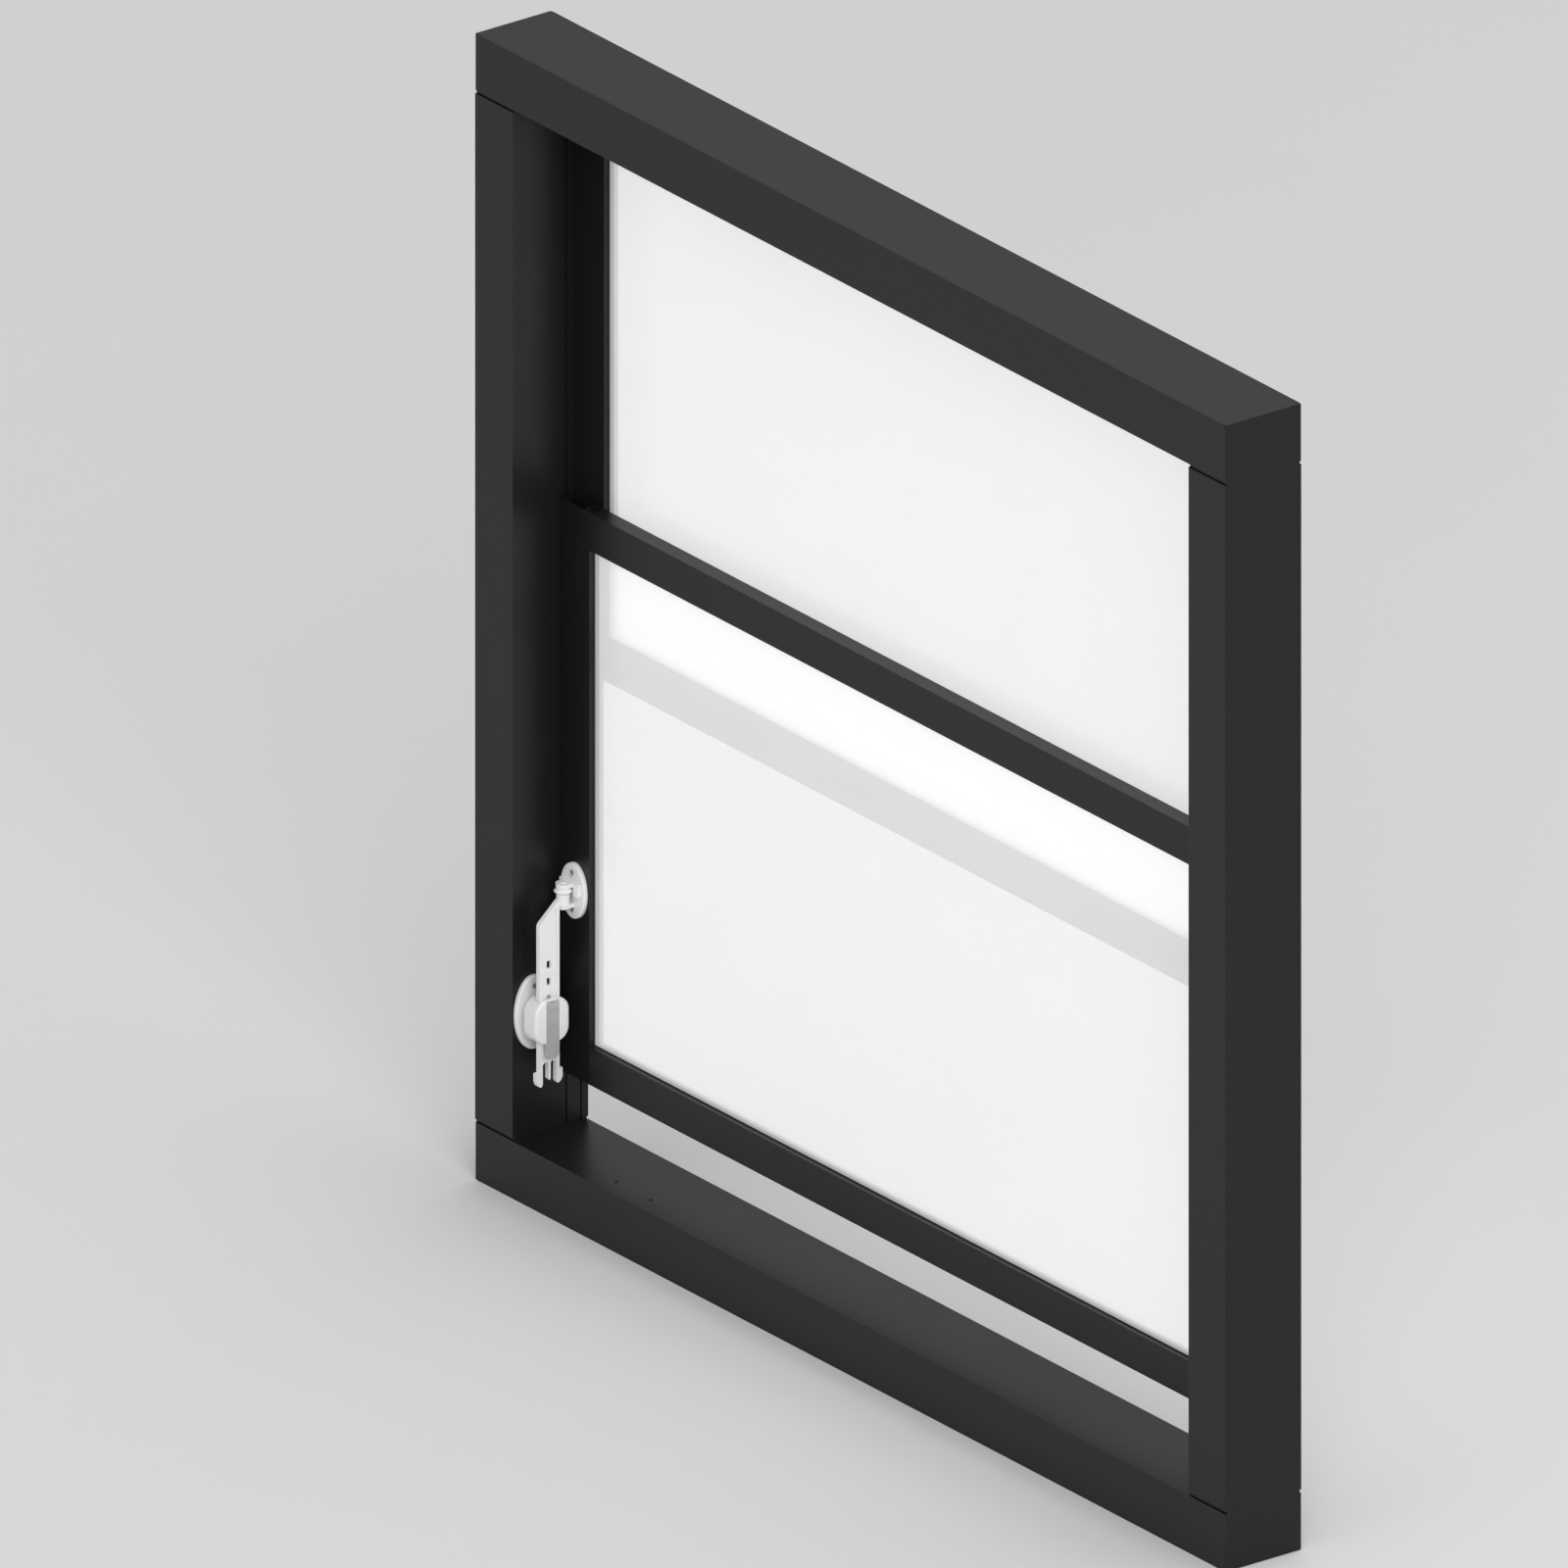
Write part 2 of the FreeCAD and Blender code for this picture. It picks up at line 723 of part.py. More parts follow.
def sash(prefix, front, bottom, bottom_rail, top_rail):
    """One sash: a frame of four grooved extrusions, its glass, and all that rides with it."""
    top = bottom + size.sash_height
    back = front + size.sash_thickness
    centre = front + size.sash_thickness / 2
    sight_bottom = bottom + bottom_rail
    sight_top = top - top_rail
    wall = size.sash_wall
    across = (front + wall, back - wall)
    slit_half = size.shoe_neck / 2 + size.slit_play
    carrier_bottom = bottom + size.carrier_rise
    shoe_bottom = top - size.shoe_end_gap - size.shoe_height
    rails = {
        "bottom": (bottom, sight_bottom),
        "top": (top, sight_top),
    }
    screw_heights = {
        rail: (chamber(*limits)[0] + chamber(*limits)[1]) / 2 for rail, limits in rails.items()
    }

    # Stiles run the whole height. The rails butt against them
    for side_name, side in SIDES.items():
        name = f"{prefix}_{side_name}_stile"
        body = new_body(name + "_body")
        section = sketch_on(body, name + "_section", "XY_Plane", bottom)
        outline(section, grooved_section(side * sash_half, side * sight_half, front))
        rectangle(section, chamber(side * sash_half, side * sight_half), across)
        pad(body, section, size.sash_height)
        slits = [
            box(
                f"{name}_slit_{n}",
                (side * sash_half, side * (sash_half - wall)),
                (centre - slit_half, centre + slit_half),
                (low - size.slit_play, low + height + size.slit_play),
            )
            for n, (low, height) in enumerate(
                ((carrier_bottom, size.carrier_height), (shoe_bottom, size.shoe_height))
            )
        ]
        inner_wall = (
            side * (sight_half + size.glass_groove_depth),
            side * (sight_half + size.glass_groove_depth + wall),
        )
        screw_ways = []
        for rail, height in screw_heights.items():
            screw_ways += [
                cylinder(
                    f"{name}_{rail}_access",
                    "x",
                    (centre, height),
                    (side * sash_half, side * (sash_half - wall)),
                    2 * size.cleat_screw_radius + size.driver_hole_play,
                ),
                cylinder(
                    f"{name}_{rail}_hole",
                    "x",
                    (centre, height),
                    inner_wall,
                    size.cleat_screw_radius + size.screw_hole_play,
                ),
            ]
        extra = []
        if (prefix, side_name) == ("lower", "left"):
            extra = [
                cylinder(
                    f"{name}_plate_pilot_{n}",
                    "y",
                    (size.hinge_x, size.sash_plate_centre + end * size.sash_plate_hole_offset),
                    (front, front + wall),
                    size.plate_screw_radius + size.hinge_clearance,
                )
                for n, end in enumerate((-1, 1))
            ]
        sub_part(name, cut(name, body, *slits, *screw_ways, *extra))

    # Rails between the stiles
    for rail, limits in rails.items():
        name = f"{prefix}_{rail}_rail"
        body = new_body(name + "_body")
        section = sketch_on(body, name + "_section", "YZ_Plane", -sight_half)
        outline(section, [(depth, height) for height, depth in grooved_section(*limits, front)])
        rectangle(section, across, chamber(*limits))
        pad(body, section, 2 * sight_half)
        piece = body
        if (prefix, rail) == ("lower", "top"):
            pile_bottom = (top + sight_top) / 2 - size.pile_height / 2
            pile_limits = (
                (-sight_half, sight_half),
                (back - size.pile_root, back),
                (pile_bottom, pile_bottom + size.pile_height),
            )
            piece = cut(name, body, box(name + "_pile_groove", *pile_limits))
            proud = (back - size.pile_root, back + size.pile_proud)
            sub_part("meeting_rail_pile", box("meeting_rail_pile", pile_limits[0], proud, pile_limits[2]))
        sub_part(name, piece)

    # Corner cleats inside the rail ends, each held by a screw through the stile
    cleats = []
    screws = []
    for side_name, side in SIDES.items():
        for rail, limits in rails.items():
            name = f"{prefix}_{side_name}_{rail}"
            low, high = in_order(chamber(*limits))
            fit = size.cleat_fit
            height = screw_heights[rail]
            block = box(
                name + "_cleat_block",
                (side * sight_half, side * (sight_half - size.cleat_length)),
                (across[0] + fit, across[1] - fit),
                (low + fit, high - fit),
            )
            pilot = cylinder(
                name + "_cleat_pilot",
                "x",
                (centre, height),
                (side * sight_half, side * (sight_half - size.cleat_length)),
                size.cleat_screw_radius + size.hinge_clearance,
            )
            cleats.append(cut(name + "_cleat", block, pilot))
            seat = sight_half + size.glass_groove_depth + wall
            shank = cylinder(
                name + "_screw_shank",
                "x",
                (centre, height),
                (side * seat, side * (sight_half - size.cleat_length + size.cleat_screw_short)),
                size.cleat_screw_radius,
            )
            screw_head = cylinder(
                name + "_screw_head",
                "x",
                (centre, height),
                (side * seat, side * (seat + size.cleat_screw_head)),
                2 * size.cleat_screw_radius,
            )
            screws.append(fuse(name + "_screw", shank, screw_head))
    sub_part(f"{prefix}_corner_cleats", *cleats)
    sub_part(f"{prefix}_corner_screws", *screws)

    # Glass, the two gaskets that clamp it, and the blocks it stands on
    glass_front = front + size.glass_groove_lip + size.gasket_thickness
    glass_back = glass_front + size.glass_thickness
    cover = size.glass_cover
    sub_part(
        f"{prefix}_glass",
        box(
            f"{prefix}_glass",
            (-sight_half - cover, sight_half + cover),
            (glass_front, glass_back),
            (sight_bottom - cover, sight_top + cover),
        ),
    )
    gaskets = {
        "room": (glass_front - size.gasket_thickness, glass_front),
        "weather": (glass_back, glass_back + size.gasket_thickness),
    }
    for face, depth in gaskets.items():
        name = f"{prefix}_{face}_gasket"
        lip = size.gasket_lip
        strip = box(
            name + "_outside",
            (-sight_half - cover, sight_half + cover),
            depth,
            (sight_bottom - cover, sight_top + cover),
        )
        window = box(
            name + "_inside",
            (lip - sight_half, sight_half - lip),
            depth,
            (sight_bottom + lip, sight_top - lip),
        )
        sub_part(name, cut(name, strip, window))
    groove_floor = sight_bottom - size.glass_groove_depth
    sub_part(
        f"{prefix}_setting_blocks",
        *[
            box(
                f"{prefix}_{side_name}_setting_block",
                (
                    side * sight_half / 2 - size.setting_block_length / 2,
                    side * sight_half / 2 + size.setting_block_length / 2,
                ),
                (glass_front - size.setting_block_lip, glass_back + size.setting_block_lip),
                (groove_floor, sight_bottom - cover),
            )
            for side_name, side in SIDES.items()
        ],
    )

    # Guide shoes near the top, and below them the carriers of the balance coils
    shoes = []
    carriers = []
    coils = []
    for side_name, side in SIDES.items():
        name = f"{prefix}_{side_name}"
        shoe = guide_piece(f"{name}_shoe", side, centre, shoe_bottom, size.shoe_height)
        shoes.append(fuse(f"{name}_shoe", *shoe))
        carrier = guide_piece(f"{name}_carrier", side, centre, carrier_bottom, size.carrier_height)
        coil_place = (side * coil_centre, carrier_bottom + size.carrier_height / 2)
        cradle = cylinder(
            f"{name}_cradle",
            "y",
            coil_place,
            (centre - size.track_width / 2, centre + size.track_width / 2),
            size.coil_radius + size.cradle_gap,
        )
        carriers.append(cut(f"{name}_carrier", fuse(f"{name}_carrier_solid", *carrier), cradle))
        coil_span = (centre - size.coil_width / 2, centre + size.coil_width / 2)
        coil = cylinder(f"{name}_coil_outside", "y", coil_place, coil_span, size.coil_radius)
        bore = cylinder(f"{name}_coil_inside", "y", coil_place, coil_span, size.coil_bore)
        coils.append(cut(f"{name}_coil", coil, bore))
    sub_part(f"{prefix}_guide_shoes", *shoes)
    sub_part(f"{prefix}_balance_carriers", *carriers)
    sub_part(f"{prefix}_balance_coils", *coils)
    return carrier_bottom + size.carrier_height / 2, centre


lower_coil_height, lower_centre = sash(
    "lower",
    size.lower_sash_front,
    size.lower_sash_bottom,
    size.rail_height,
    size.rail_height,
)
upper_coil_height, upper_centre = sash(
    "upper",
    upper_sash_front,
    size.upper_sash_bottom,
    size.upper_bottom_rail_height,
    size.rail_height,
)

# Rubber strips that close the lower sash on the sill and the upper sash under the head
seal_half = opening_half - size.seal_end_gap
upper_sash_top = size.upper_sash_bottom + size.sash_height
sub_part(
    "lower_bottom_seal",
    box(
        "lower_bottom_seal",
        (-seal_half, seal_half),
        (lower_centre - size.seal_width / 2, lower_centre + size.seal_width / 2),
        (size.lower_sash_bottom - size.seal_height, size.lower_sash_bottom),
    ),
)
sub_part(
    "upper_top_seal",
    box(
        "upper_top_seal",
        (-seal_half, seal_half),
        (upper_centre - size.seal_width / 2, upper_centre + size.seal_width / 2),
        (upper_sash_top, upper_sash_top + size.seal_height),
    ),
)


# ---- Balance ribbons: spring strips from each coil up to an anchor on the jamb ----

balances = (
    ("lower", lower_coil_height, lower_centre, size.lower_anchor_height),
    ("upper", upper_coil_height, upper_centre, size.upper_anchor_height),
)
anchors = []
for prefix, coil_height, centre, anchor_height in balances:
    ribbons = []
    for side_name, side in SIDES.items():
        name = f"{prefix}_{side_name}"
        ribbons.append(
            box(
                name + "_ribbon",
                (side * ribbon_near, side * ribbon_far),
                (centre - size.coil_width / 2, centre + size.coil_width / 2),
                (coil_height, anchor_height),
            )
        )
        anchors.append(
            box(
                name + "_anchor",
                (side * (ribbon_near - size.anchor_lead), side * (half_width - size.frame_wall)),
                (centre - size.guide_width / 2, centre + size.guide_width / 2),
                (anchor_height, anchor_height + size.anchor_height),
            )
        )
    sub_part(f"{prefix}_balance_ribbons", *ribbons)
sub_part("balance_anchors", *anchors)


# ---- Restrictor: oval plates and their screws ----


UPRIGHT = {
    "x": Rotation(Vector(0, 1, 0), -90),
    "y": Rotation(Vector(1, 0, 0), 90) * Rotation(Vector(0, 0, 1), 90),
}


def oval(name, normal, centre, across, height, start, thickness):
    """An oval plate that lies flat against a face. Its height is along Z."""
    ellipse = doc.addObject("Part::Ellipse", name + "_outline")
    bind(ellipse, "MajorRadius", height / 2)
    bind(ellipse, "MinorRadius", across / 2)
    ellipse.Placement = Placement(Vector(), UPRIGHT[normal])
    places = {"z": centre[1], normal: start, "y" if normal == "x" else "x": centre[0]}
    for axis, place in places.items():
        bind(ellipse, f"Placement.Base.{axis}", place)
    plate = doc.addObject("Part::Extrusion", name)
    plate.Base = ellipse
    plate.DirMode = "Custom"
    plate.Dir = Vector(1, 0, 0) if normal == "x" else Vector(0, 1, 0)
    plate.Solid = True
    bind(plate, "LengthFwd", thickness)
    return plate


def countersunk_screw(name, axis, centre, face, inward, length):
    """A screw whose flat head is flush with face and whose shank points inward, 1 or -1 along the axis."""
    depth = size.plate_screw_head - size.plate_screw_radius
    screw_head = cone(
        name + "_head",
        axis,
        centre,
        (face, face + inward * depth),
        size.plate_screw_head,
        size.plate_screw_radius,
    )
    shank = cylinder(
        name + "_shank",
        axis,
        centre,
        (face + inward * depth, face + inward * length),
        size.plate_screw_radius,
    )
    return fuse(name, screw_head, shank)


def screw_seat(name, axis, centre, face, inward, length):
    """The countersunk hole that such a screw sits in, a little wider all round."""
    depth = size.plate_screw_head - size.plate_screw_radius
    clearance = size.hinge_clearance
    seat = cone(
        name + "_seat",
        axis,
        centre,
        (face, face + inward * depth),
        size.plate_screw_head + clearance,
        size.plate_screw_radius + clearance,
    )
    way = cylinder(
        name + "_way",
        axis,
        centre,
        (face, face + inward * length),
        size.plate_screw_radius + clearance,
    )
    return [seat, way]


# Sash bracket: an oval plate with two ears that hold the hinge pin
bracket_back = size.lower_sash_front
plate_back = bracket_back - size.pad_thickness
plate_front = plate_back - size.plate_thickness
bracket_screws = [
    (size.hinge_x, size.sash_plate_centre + end * size.sash_plate_hole_offset) for end in (-1, 1)
]
bracket_oval = oval(
    "bracket_oval",
    "y",
    (size.hinge_x, size.sash_plate_centre),
    size.sash_plate_width,
    size.sash_plate_height,
    plate_front,
    size.plate_thickness,
)
bracket_plate = round_edges(
    "bracket_plate",
    bracket_oval,
    DRIVING["plate_soft_edge"],
    lambda edge: edge.BoundBox.YMax < as_size(plate_front).value + 0.1,
)


def ear(name, bottom, radius):
    arm = box(
        name + "_arm",
        (size.hinge_x - radius, size.hinge_x + radius),
        (size.hinge_y, plate_front + size.ear_root),
        (bottom, bottom + size.ear_thickness),
    )
    tip = cylinder(
        name + "_tip",
        "z",
        (size.hinge_x, size.hinge_y),
        (bottom, bottom + size.ear_thickness),
        radius,
    )
    return [arm, tip]


upper_ear_top = size.upper_ear_bottom + size.ear_thickness
cheeks = box(
    "bracket_cheeks",
    (size.hinge_x - size.cheek_width / 2, size.hinge_x + size.cheek_width / 2),
    (plate_front - size.cheek_reach, plate_front + size.ear_root),
    (upper_ear_top - size.cheek_height, upper_ear_top),
)
knuckle_room = cylinder(
    "bracket_knuckle_room",
    "z",
    (size.hinge_x, size.hinge_y),
    (upper_ear_top - size.cheek_height, size.upper_ear_bottom),
    size.knuckle_ridge + size.cheek_gap,
)

bracket_solid = fuse(
    "bracket_solid",
    bracket_plate,
    cut("bracket_cheeks_relieved", cheeks, knuckle_room),
    *ear("upper_ear", size.upper_ear_bottom, size.ear_radius),
    *ear("lower_ear", size.lower_ear_bottom, size.lower_ear_radius),
)
pin_way = cylinder(
    "bracket_pin_way",
    "z",
    (size.hinge_x, size.hinge_y),
    (size.lower_ear_bottom, upper_ear_top),
    size.hinge_pin_radius,
)
window_left = size.hinge_x - size.window_offset
window_bottom = upper_ear_top + size.ear_root
moulding_window = box(
    "bracket_window",
    (window_left, window_left + size.window_width),
    (plate_front, plate_back),
    (window_bottom, window_bottom + size.window_height),
)
bracket_seats = [
    part
    for n, place in enumerate(bracket_screws)
    for part in screw_seat(
        f"bracket_seat_{n}", "y", place, plate_front, 1, size.plate_thickness
    )
]
sub_part("sash_plate", cut("sash_plate", bracket_solid, pin_way, moulding_window, *bracket_seats))

bracket_pad_oval = oval(
    "bracket_pad_oval",
    "y",
    (size.hinge_x, size.sash_plate_centre),
    size.sash_plate_width,
    size.sash_plate_height,
    plate_back,
    size.pad_thickness,
)
pad_holes = [
    cylinder(
        f"bracket_pad_hole_{n}",
        "y",
        place,
        (plate_back, bracket_back),
        size.plate_screw_radius + size.hinge_clearance,
    )
    for n, place in enumerate(bracket_screws)
]
sub_part("sash_plate_pad", cut("sash_plate_pad", bracket_pad_oval, *pad_holes))
sub_part(
    "sash_plate_screws",
    *[
        countersunk_screw(
            f"bracket_screw_{n}", "y", place, plate_front, 1, size.sash_plate_screw_length
        )
        for n, place in enumerate(bracket_screws)
    ],
)

# Hinge pin: pressed into the ears, with a low round head on the upper one
sub_part(
    "hinge_pin",
    fuse(
        "hinge_pin",
        cylinder(
            "hinge_pin_shank",
            "z",
            (size.hinge_x, size.hinge_y),
            (size.lower_ear_bottom, upper_ear_top),
            size.hinge_pin_radius,
        ),
        cylinder(
            "hinge_pin_head",
            "z",
            (size.hinge_x, size.hinge_y),
            (upper_ear_top, upper_ear_top + size.hinge_pin_head_height),
            size.hinge_pin_radius + size.hinge_pin_head_lip,
        ),
    ),
)


# ---- Restrictor strap ----

strap_left = size.strap_centre - size.strap_width / 2
strap_right = size.strap_centre + size.strap_width / 2
strap_front = size.strap_back + size.strap_thickness
leg = size.leg_width
bend = size.strap_straight_top
prong = size.prong_half
# One leg of the forked foot with its blunt barb: distances out from the strap's edge and up from the foot
foot = [
    (-leg, 2),
    (-leg + 1, 0.4),
    (-1, 0),
    (1.4, 1.6),
    (size.barb_reach, 5),
    (size.barb_reach, size.barb_height),
    (0, size.barb_height),
]
strap_points = [
    *[(strap_left - out, size.leg_bottom + up) for out, up in reversed(foot)],
    (strap_left + leg, size.strap_web_bottom - 2),
    (strap_left + leg + 2, size.strap_web_bottom),
    (size.strap_centre - prong - 1, size.strap_web_bottom),
    (size.strap_centre - prong, size.strap_web_bottom - 2),
    (size.strap_centre - prong, size.prong_bottom + 1.5),
    (size.strap_centre - prong + 1, size.prong_bottom),
    (size.strap_centre + prong - 1, size.prong_bottom),
    (size.strap_centre + prong, size.prong_bottom + 1.5),
    (size.strap_centre + prong, size.strap_web_bottom - 2),
    (size.strap_centre + prong + 1, size.strap_web_bottom),
    (strap_right - leg - 2, size.strap_web_bottom),
    (strap_right - leg, size.strap_web_bottom - 2),
    *[(strap_right + out, size.leg_bottom + up) for out, up in foot],
    (strap_right, bend + 8.5),
    (strap_right + 0.3, bend + 13.4),
    (size.hinge_y + 1, bend + 16.5),
    (size.hinge_y + 1, bend + 26.5),
    (size.hinge_y - 3, bend + 26.5),
    (size.hinge_y - 4, bend + 19),
    (size.hinge_y - 5.5, bend + 18),
    (strap_left + 2.6, bend + 3.3),
    (strap_left + 1.4, bend + 2.1),
    (strap_left + 0.4, bend + 0.8),
    (strap_left, bend - 1),
]
strap_body = new_body("strap_body")
strap_sketch = sketch_on(strap_body, "strap_outline", "YZ_Plane", size.strap_back)
outline(strap_sketch, strap_points)
pad(strap_body, strap_sketch, size.strap_thickness)

channel = (strap_left + size.strap_rim, strap_right - size.strap_rim)
channel_foot = size.strap_web_bottom + size.recess_end
channel_points = [
    (channel[0], channel_foot),
    (channel[1], channel_foot),
    (channel[1], bend + 12.3),
    (strap_left + 4.6, bend + 1.1),
    (channel[0] + 0.4, bend - 0.4),
    (channel[0], bend - 1.6),
]
faces = (
    ("front", strap_front, False),
    ("back", size.strap_back, True),
)
for face, place, backwards in faces:
    recess = sketch_on(strap_body, f"strap_{face}_recess", "YZ_Plane", place)
    outline(recess, channel_points)
    pocket(strap_body, recess, size.strap_recess, backwards)
doc.recompute()
slot_sketch = sketch_on(strap_body, "strap_slot", "YZ_Plane", strap_front)
rectangle(
    slot_sketch,
    (size.strap_centre - size.slot_width / 2, size.strap_centre + size.slot_width / 2),
    (size.slot_top - size.slot_height / 2, size.slot_top + size.slot_height / 2),
)
first_slot = pocket(strap_body, slot_sketch, size.strap_thickness)
doc.recompute()
slots = strap_body.newObject("PartDesign::LinearPattern", "strap_slots")
slots.Originals = [first_slot]
slots.Direction = (slot_sketch, ["V_Axis"])
slots.Reversed = True
bind(slots, "Length", size.slot_pitch * (size.slot_count - 1))
bind(slots, "Occurrences", size.slot_count)
strap_body.Tip = slots

# Low rungs across the channel between the slots
rungs = []
rung_height = size.strap_recess / 2
for n in range(DRIVING["slot_count"] - 1):
    middle = size.slot_top - size.slot_pitch * (n + 0.5)
    rungs.append(
        box(
            f"strap_rung_{n}",
            (strap_front - size.strap_recess, strap_front - size.strap_recess + rung_height),
            channel,
            (middle - size.rung_half, middle + size.rung_half),
        )
    )

knuckle_bottom = size.lower_ear_bottom + size.ear_thickness + size.knuckle_end_gap
knuckle_top = size.upper_ear_bottom - size.knuckle_end_gap
ridge_level = knuckle_top - size.ridge_drop
knuckle = cylinder(
    "knuckle",
    "z",
    (size.hinge_x, size.hinge_y),
    (knuckle_bottom, knuckle_top),
    size.knuckle_radius,
)
ridge_below = cone(
    "knuckle_ridge_below",
    "z",
    (size.hinge_x, size.hinge_y),
    (ridge_level - size.ridge_half, ridge_level),
    size.knuckle_radius,
    size.knuckle_ridge,
)
ridge_above = cone(
    "knuckle_ridge_above",
    "z",
    (size.hinge_x, size.hinge_y),
    (ridge_level, ridge_level + size.ridge_half),
    size.knuckle_ridge,
    size.knuckle_radius,
)
eye = cylinder(
    "knuckle_eye",
    "z",
    (size.hinge_x, size.hinge_y),
    (knuckle_bottom, knuckle_top),
    size.hinge_pin_radius + size.hinge_clearance,
)
strap_solid = fuse("strap_solid", strap_body, knuckle, ridge_below, ridge_above, *rungs)
sub_part("restrictor_arm", cut("restrictor_arm", strap_solid, eye))


# ---- Restrictor: jamb plate with its swivel boss ----

jamb_face = -opening_half
jamb_plate_back = jamb_face + size.pad_thickness
jamb_plate_front = jamb_plate_back + size.plate_thickness
boss_front = size.slider_back - size.boss_gap
jamb_screws = [(size.strap_centre, height) for height in plate_screw_heights]
jamb_oval = oval(
    "jamb_oval",
    "x",
    (size.strap_centre, size.jamb_plate_centre),
    size.jamb_plate_width,
    size.jamb_plate_height,
    jamb_plate_back,
    size.plate_thickness,
)
jamb_plate_rounded = round_edges(
    "jamb_plate_rounded",
    jamb_oval,
    DRIVING["plate_soft_edge"],
    lambda edge: edge.BoundBox.XMin > as_size(jamb_plate_front).value - 0.1,
)
swivel_centre = (size.strap_centre, size.swivel_height)
boss = cylinder(
    "swivel_boss", "x", swivel_centre, (jamb_plate_front - 1, boss_front), size.swivel_boss_radius
)
swivel_hole = cylinder(
    "swivel_hole", "x", swivel_centre, (jamb_plate_back, boss_front), size.swivel_pin_radius
)
jamb_seats = [
    part
    for n, place in enumerate(jamb_screws)
    for part in screw_seat(
        f"jamb_seat_{n}", "x", place, jamb_plate_front, -1, size.plate_thickness
    )
]
sub_part(
    "jamb_plate",
    cut(
        "jamb_plate",
        fuse("jamb_plate_solid", jamb_plate_rounded, boss),
        swivel_hole,
        *jamb_seats,
    ),
)
jamb_pad_oval = oval(
    "jamb_pad_oval",
    "x",
    (size.strap_centre, size.jamb_plate_centre),
    size.jamb_plate_width,
    size.jamb_plate_height,
    jamb_face,
    size.pad_thickness,
)
jamb_pad_holes = [
    cylinder(
        f"jamb_pad_hole_{n}",
        "x",
        place,
        (jamb_face, jamb_plate_back),
        size.plate_screw_radius + size.hinge_clearance,
    )
    for n, place in enumerate(jamb_screws)
]
sub_part("jamb_plate_pad", cut("jamb_plate_pad", jamb_pad_oval, *jamb_pad_holes))
sub_part(
    "jamb_plate_screws",
    *[
        countersunk_screw(
            f"jamb_screw_{n}", "x", place, jamb_plate_front, -1, size.jamb_plate_screw_length
        )
        for n, place in enumerate(jamb_screws)
    ],
)
head_start = size.slider_back + size.slider_wall + size.swivel_head_gap
sub_part(
    "swivel_pin",
    fuse(
        "swivel_pin",
        cylinder(
            "swivel_shank", "x", swivel_centre, (jamb_plate_back, head_start), size.swivel_pin_radius
        ),
        cylinder(
            "swivel_head",
            "x",
            swivel_centre,
            (head_start, head_start + size.swivel_head_height),
            size.swivel_head_radius,
        ),
    ),
)


# ---- Restrictor slider: a two-part housing round the strap ----

slider_left = size.strap_centre - size.slider_width / 2
slider_right = size.strap_centre + size.slider_width / 2
slider_top = size.slider_bottom + size.slider_height
slider_heights = (size.slider_bottom, slider_top)
strap_room = (strap_left - size.strap_side_clearance, strap_right + size.strap_side_clearance)
room_back = size.strap_back - size.strap_face_clearance
room_front = strap_front + size.strap_face_clearance


def slider_half(name, back, front, rounded_front):
    """One half of the housing: a block with round corners, and a soft front edge on the outer half."""
    block = box(name + "_block", (back, front), (slider_left, slider_right), slider_heights)
    corners = round_edges(
        name + "_corners",
        block,
        DRIVING["slider_corner"],
        lambda edge: edge.BoundBox.YLength < 0.01 and edge.BoundBox.ZLength < 0.01,
    )
    if not rounded_front:
        return corners
    return round_edges(
        name + "_soft",
        corners,
        DRIVING["slider_soft_edge"],
        lambda edge: edge.BoundBox.XMin > as_size(front).value - 0.01,
    )


slider_screw_places = [
    (slider_left + size.slider_screw_side, size.slider_bottom + size.slider_screw_end),
    (slider_right - size.slider_screw_side, slider_top - size.slider_screw_end),
]
screw_seat_end = size.slider_back + size.slider_screw_seat
base_holes = [
    cylinder(
        f"slider_base_hole_{n}",
        "x",
        place,
        (size.slider_back, size.slider_split),
        size.slider_screw_radius + size.hinge_clearance,
    )
    for n, place in enumerate(slider_screw_places)
]
base_counterbores = [
    cylinder(
        f"slider_counterbore_{n}",
        "x",
        place,
        (size.slider_back, screw_seat_end),
        2 * size.slider_screw_radius + 2 * size.hinge_clearance,
    )
    for n, place in enumerate(slider_screw_places)
]
sub_part(
    "slider_base",
    cut(
        "slider_base",
        slider_half("slider_base", size.slider_back, size.slider_split, False),
        box("base_strap_room", (room_back, size.slider_split), strap_room, slider_heights),
        cylinder(
            "swivel_head_room",
            "x",
            swivel_centre,
            (size.slider_back + size.slider_wall, room_back),
            size.swivel_head_radius + 1,
        ),
        cylinder(
            "swivel_bearing",
            "x",
            swivel_centre,
            (size.slider_back, size.slider_back + size.slider_wall),
            size.swivel_pin_radius + size.hinge_clearance,
        ),
        *base_holes,
        *base_counterbores,
    ),
)

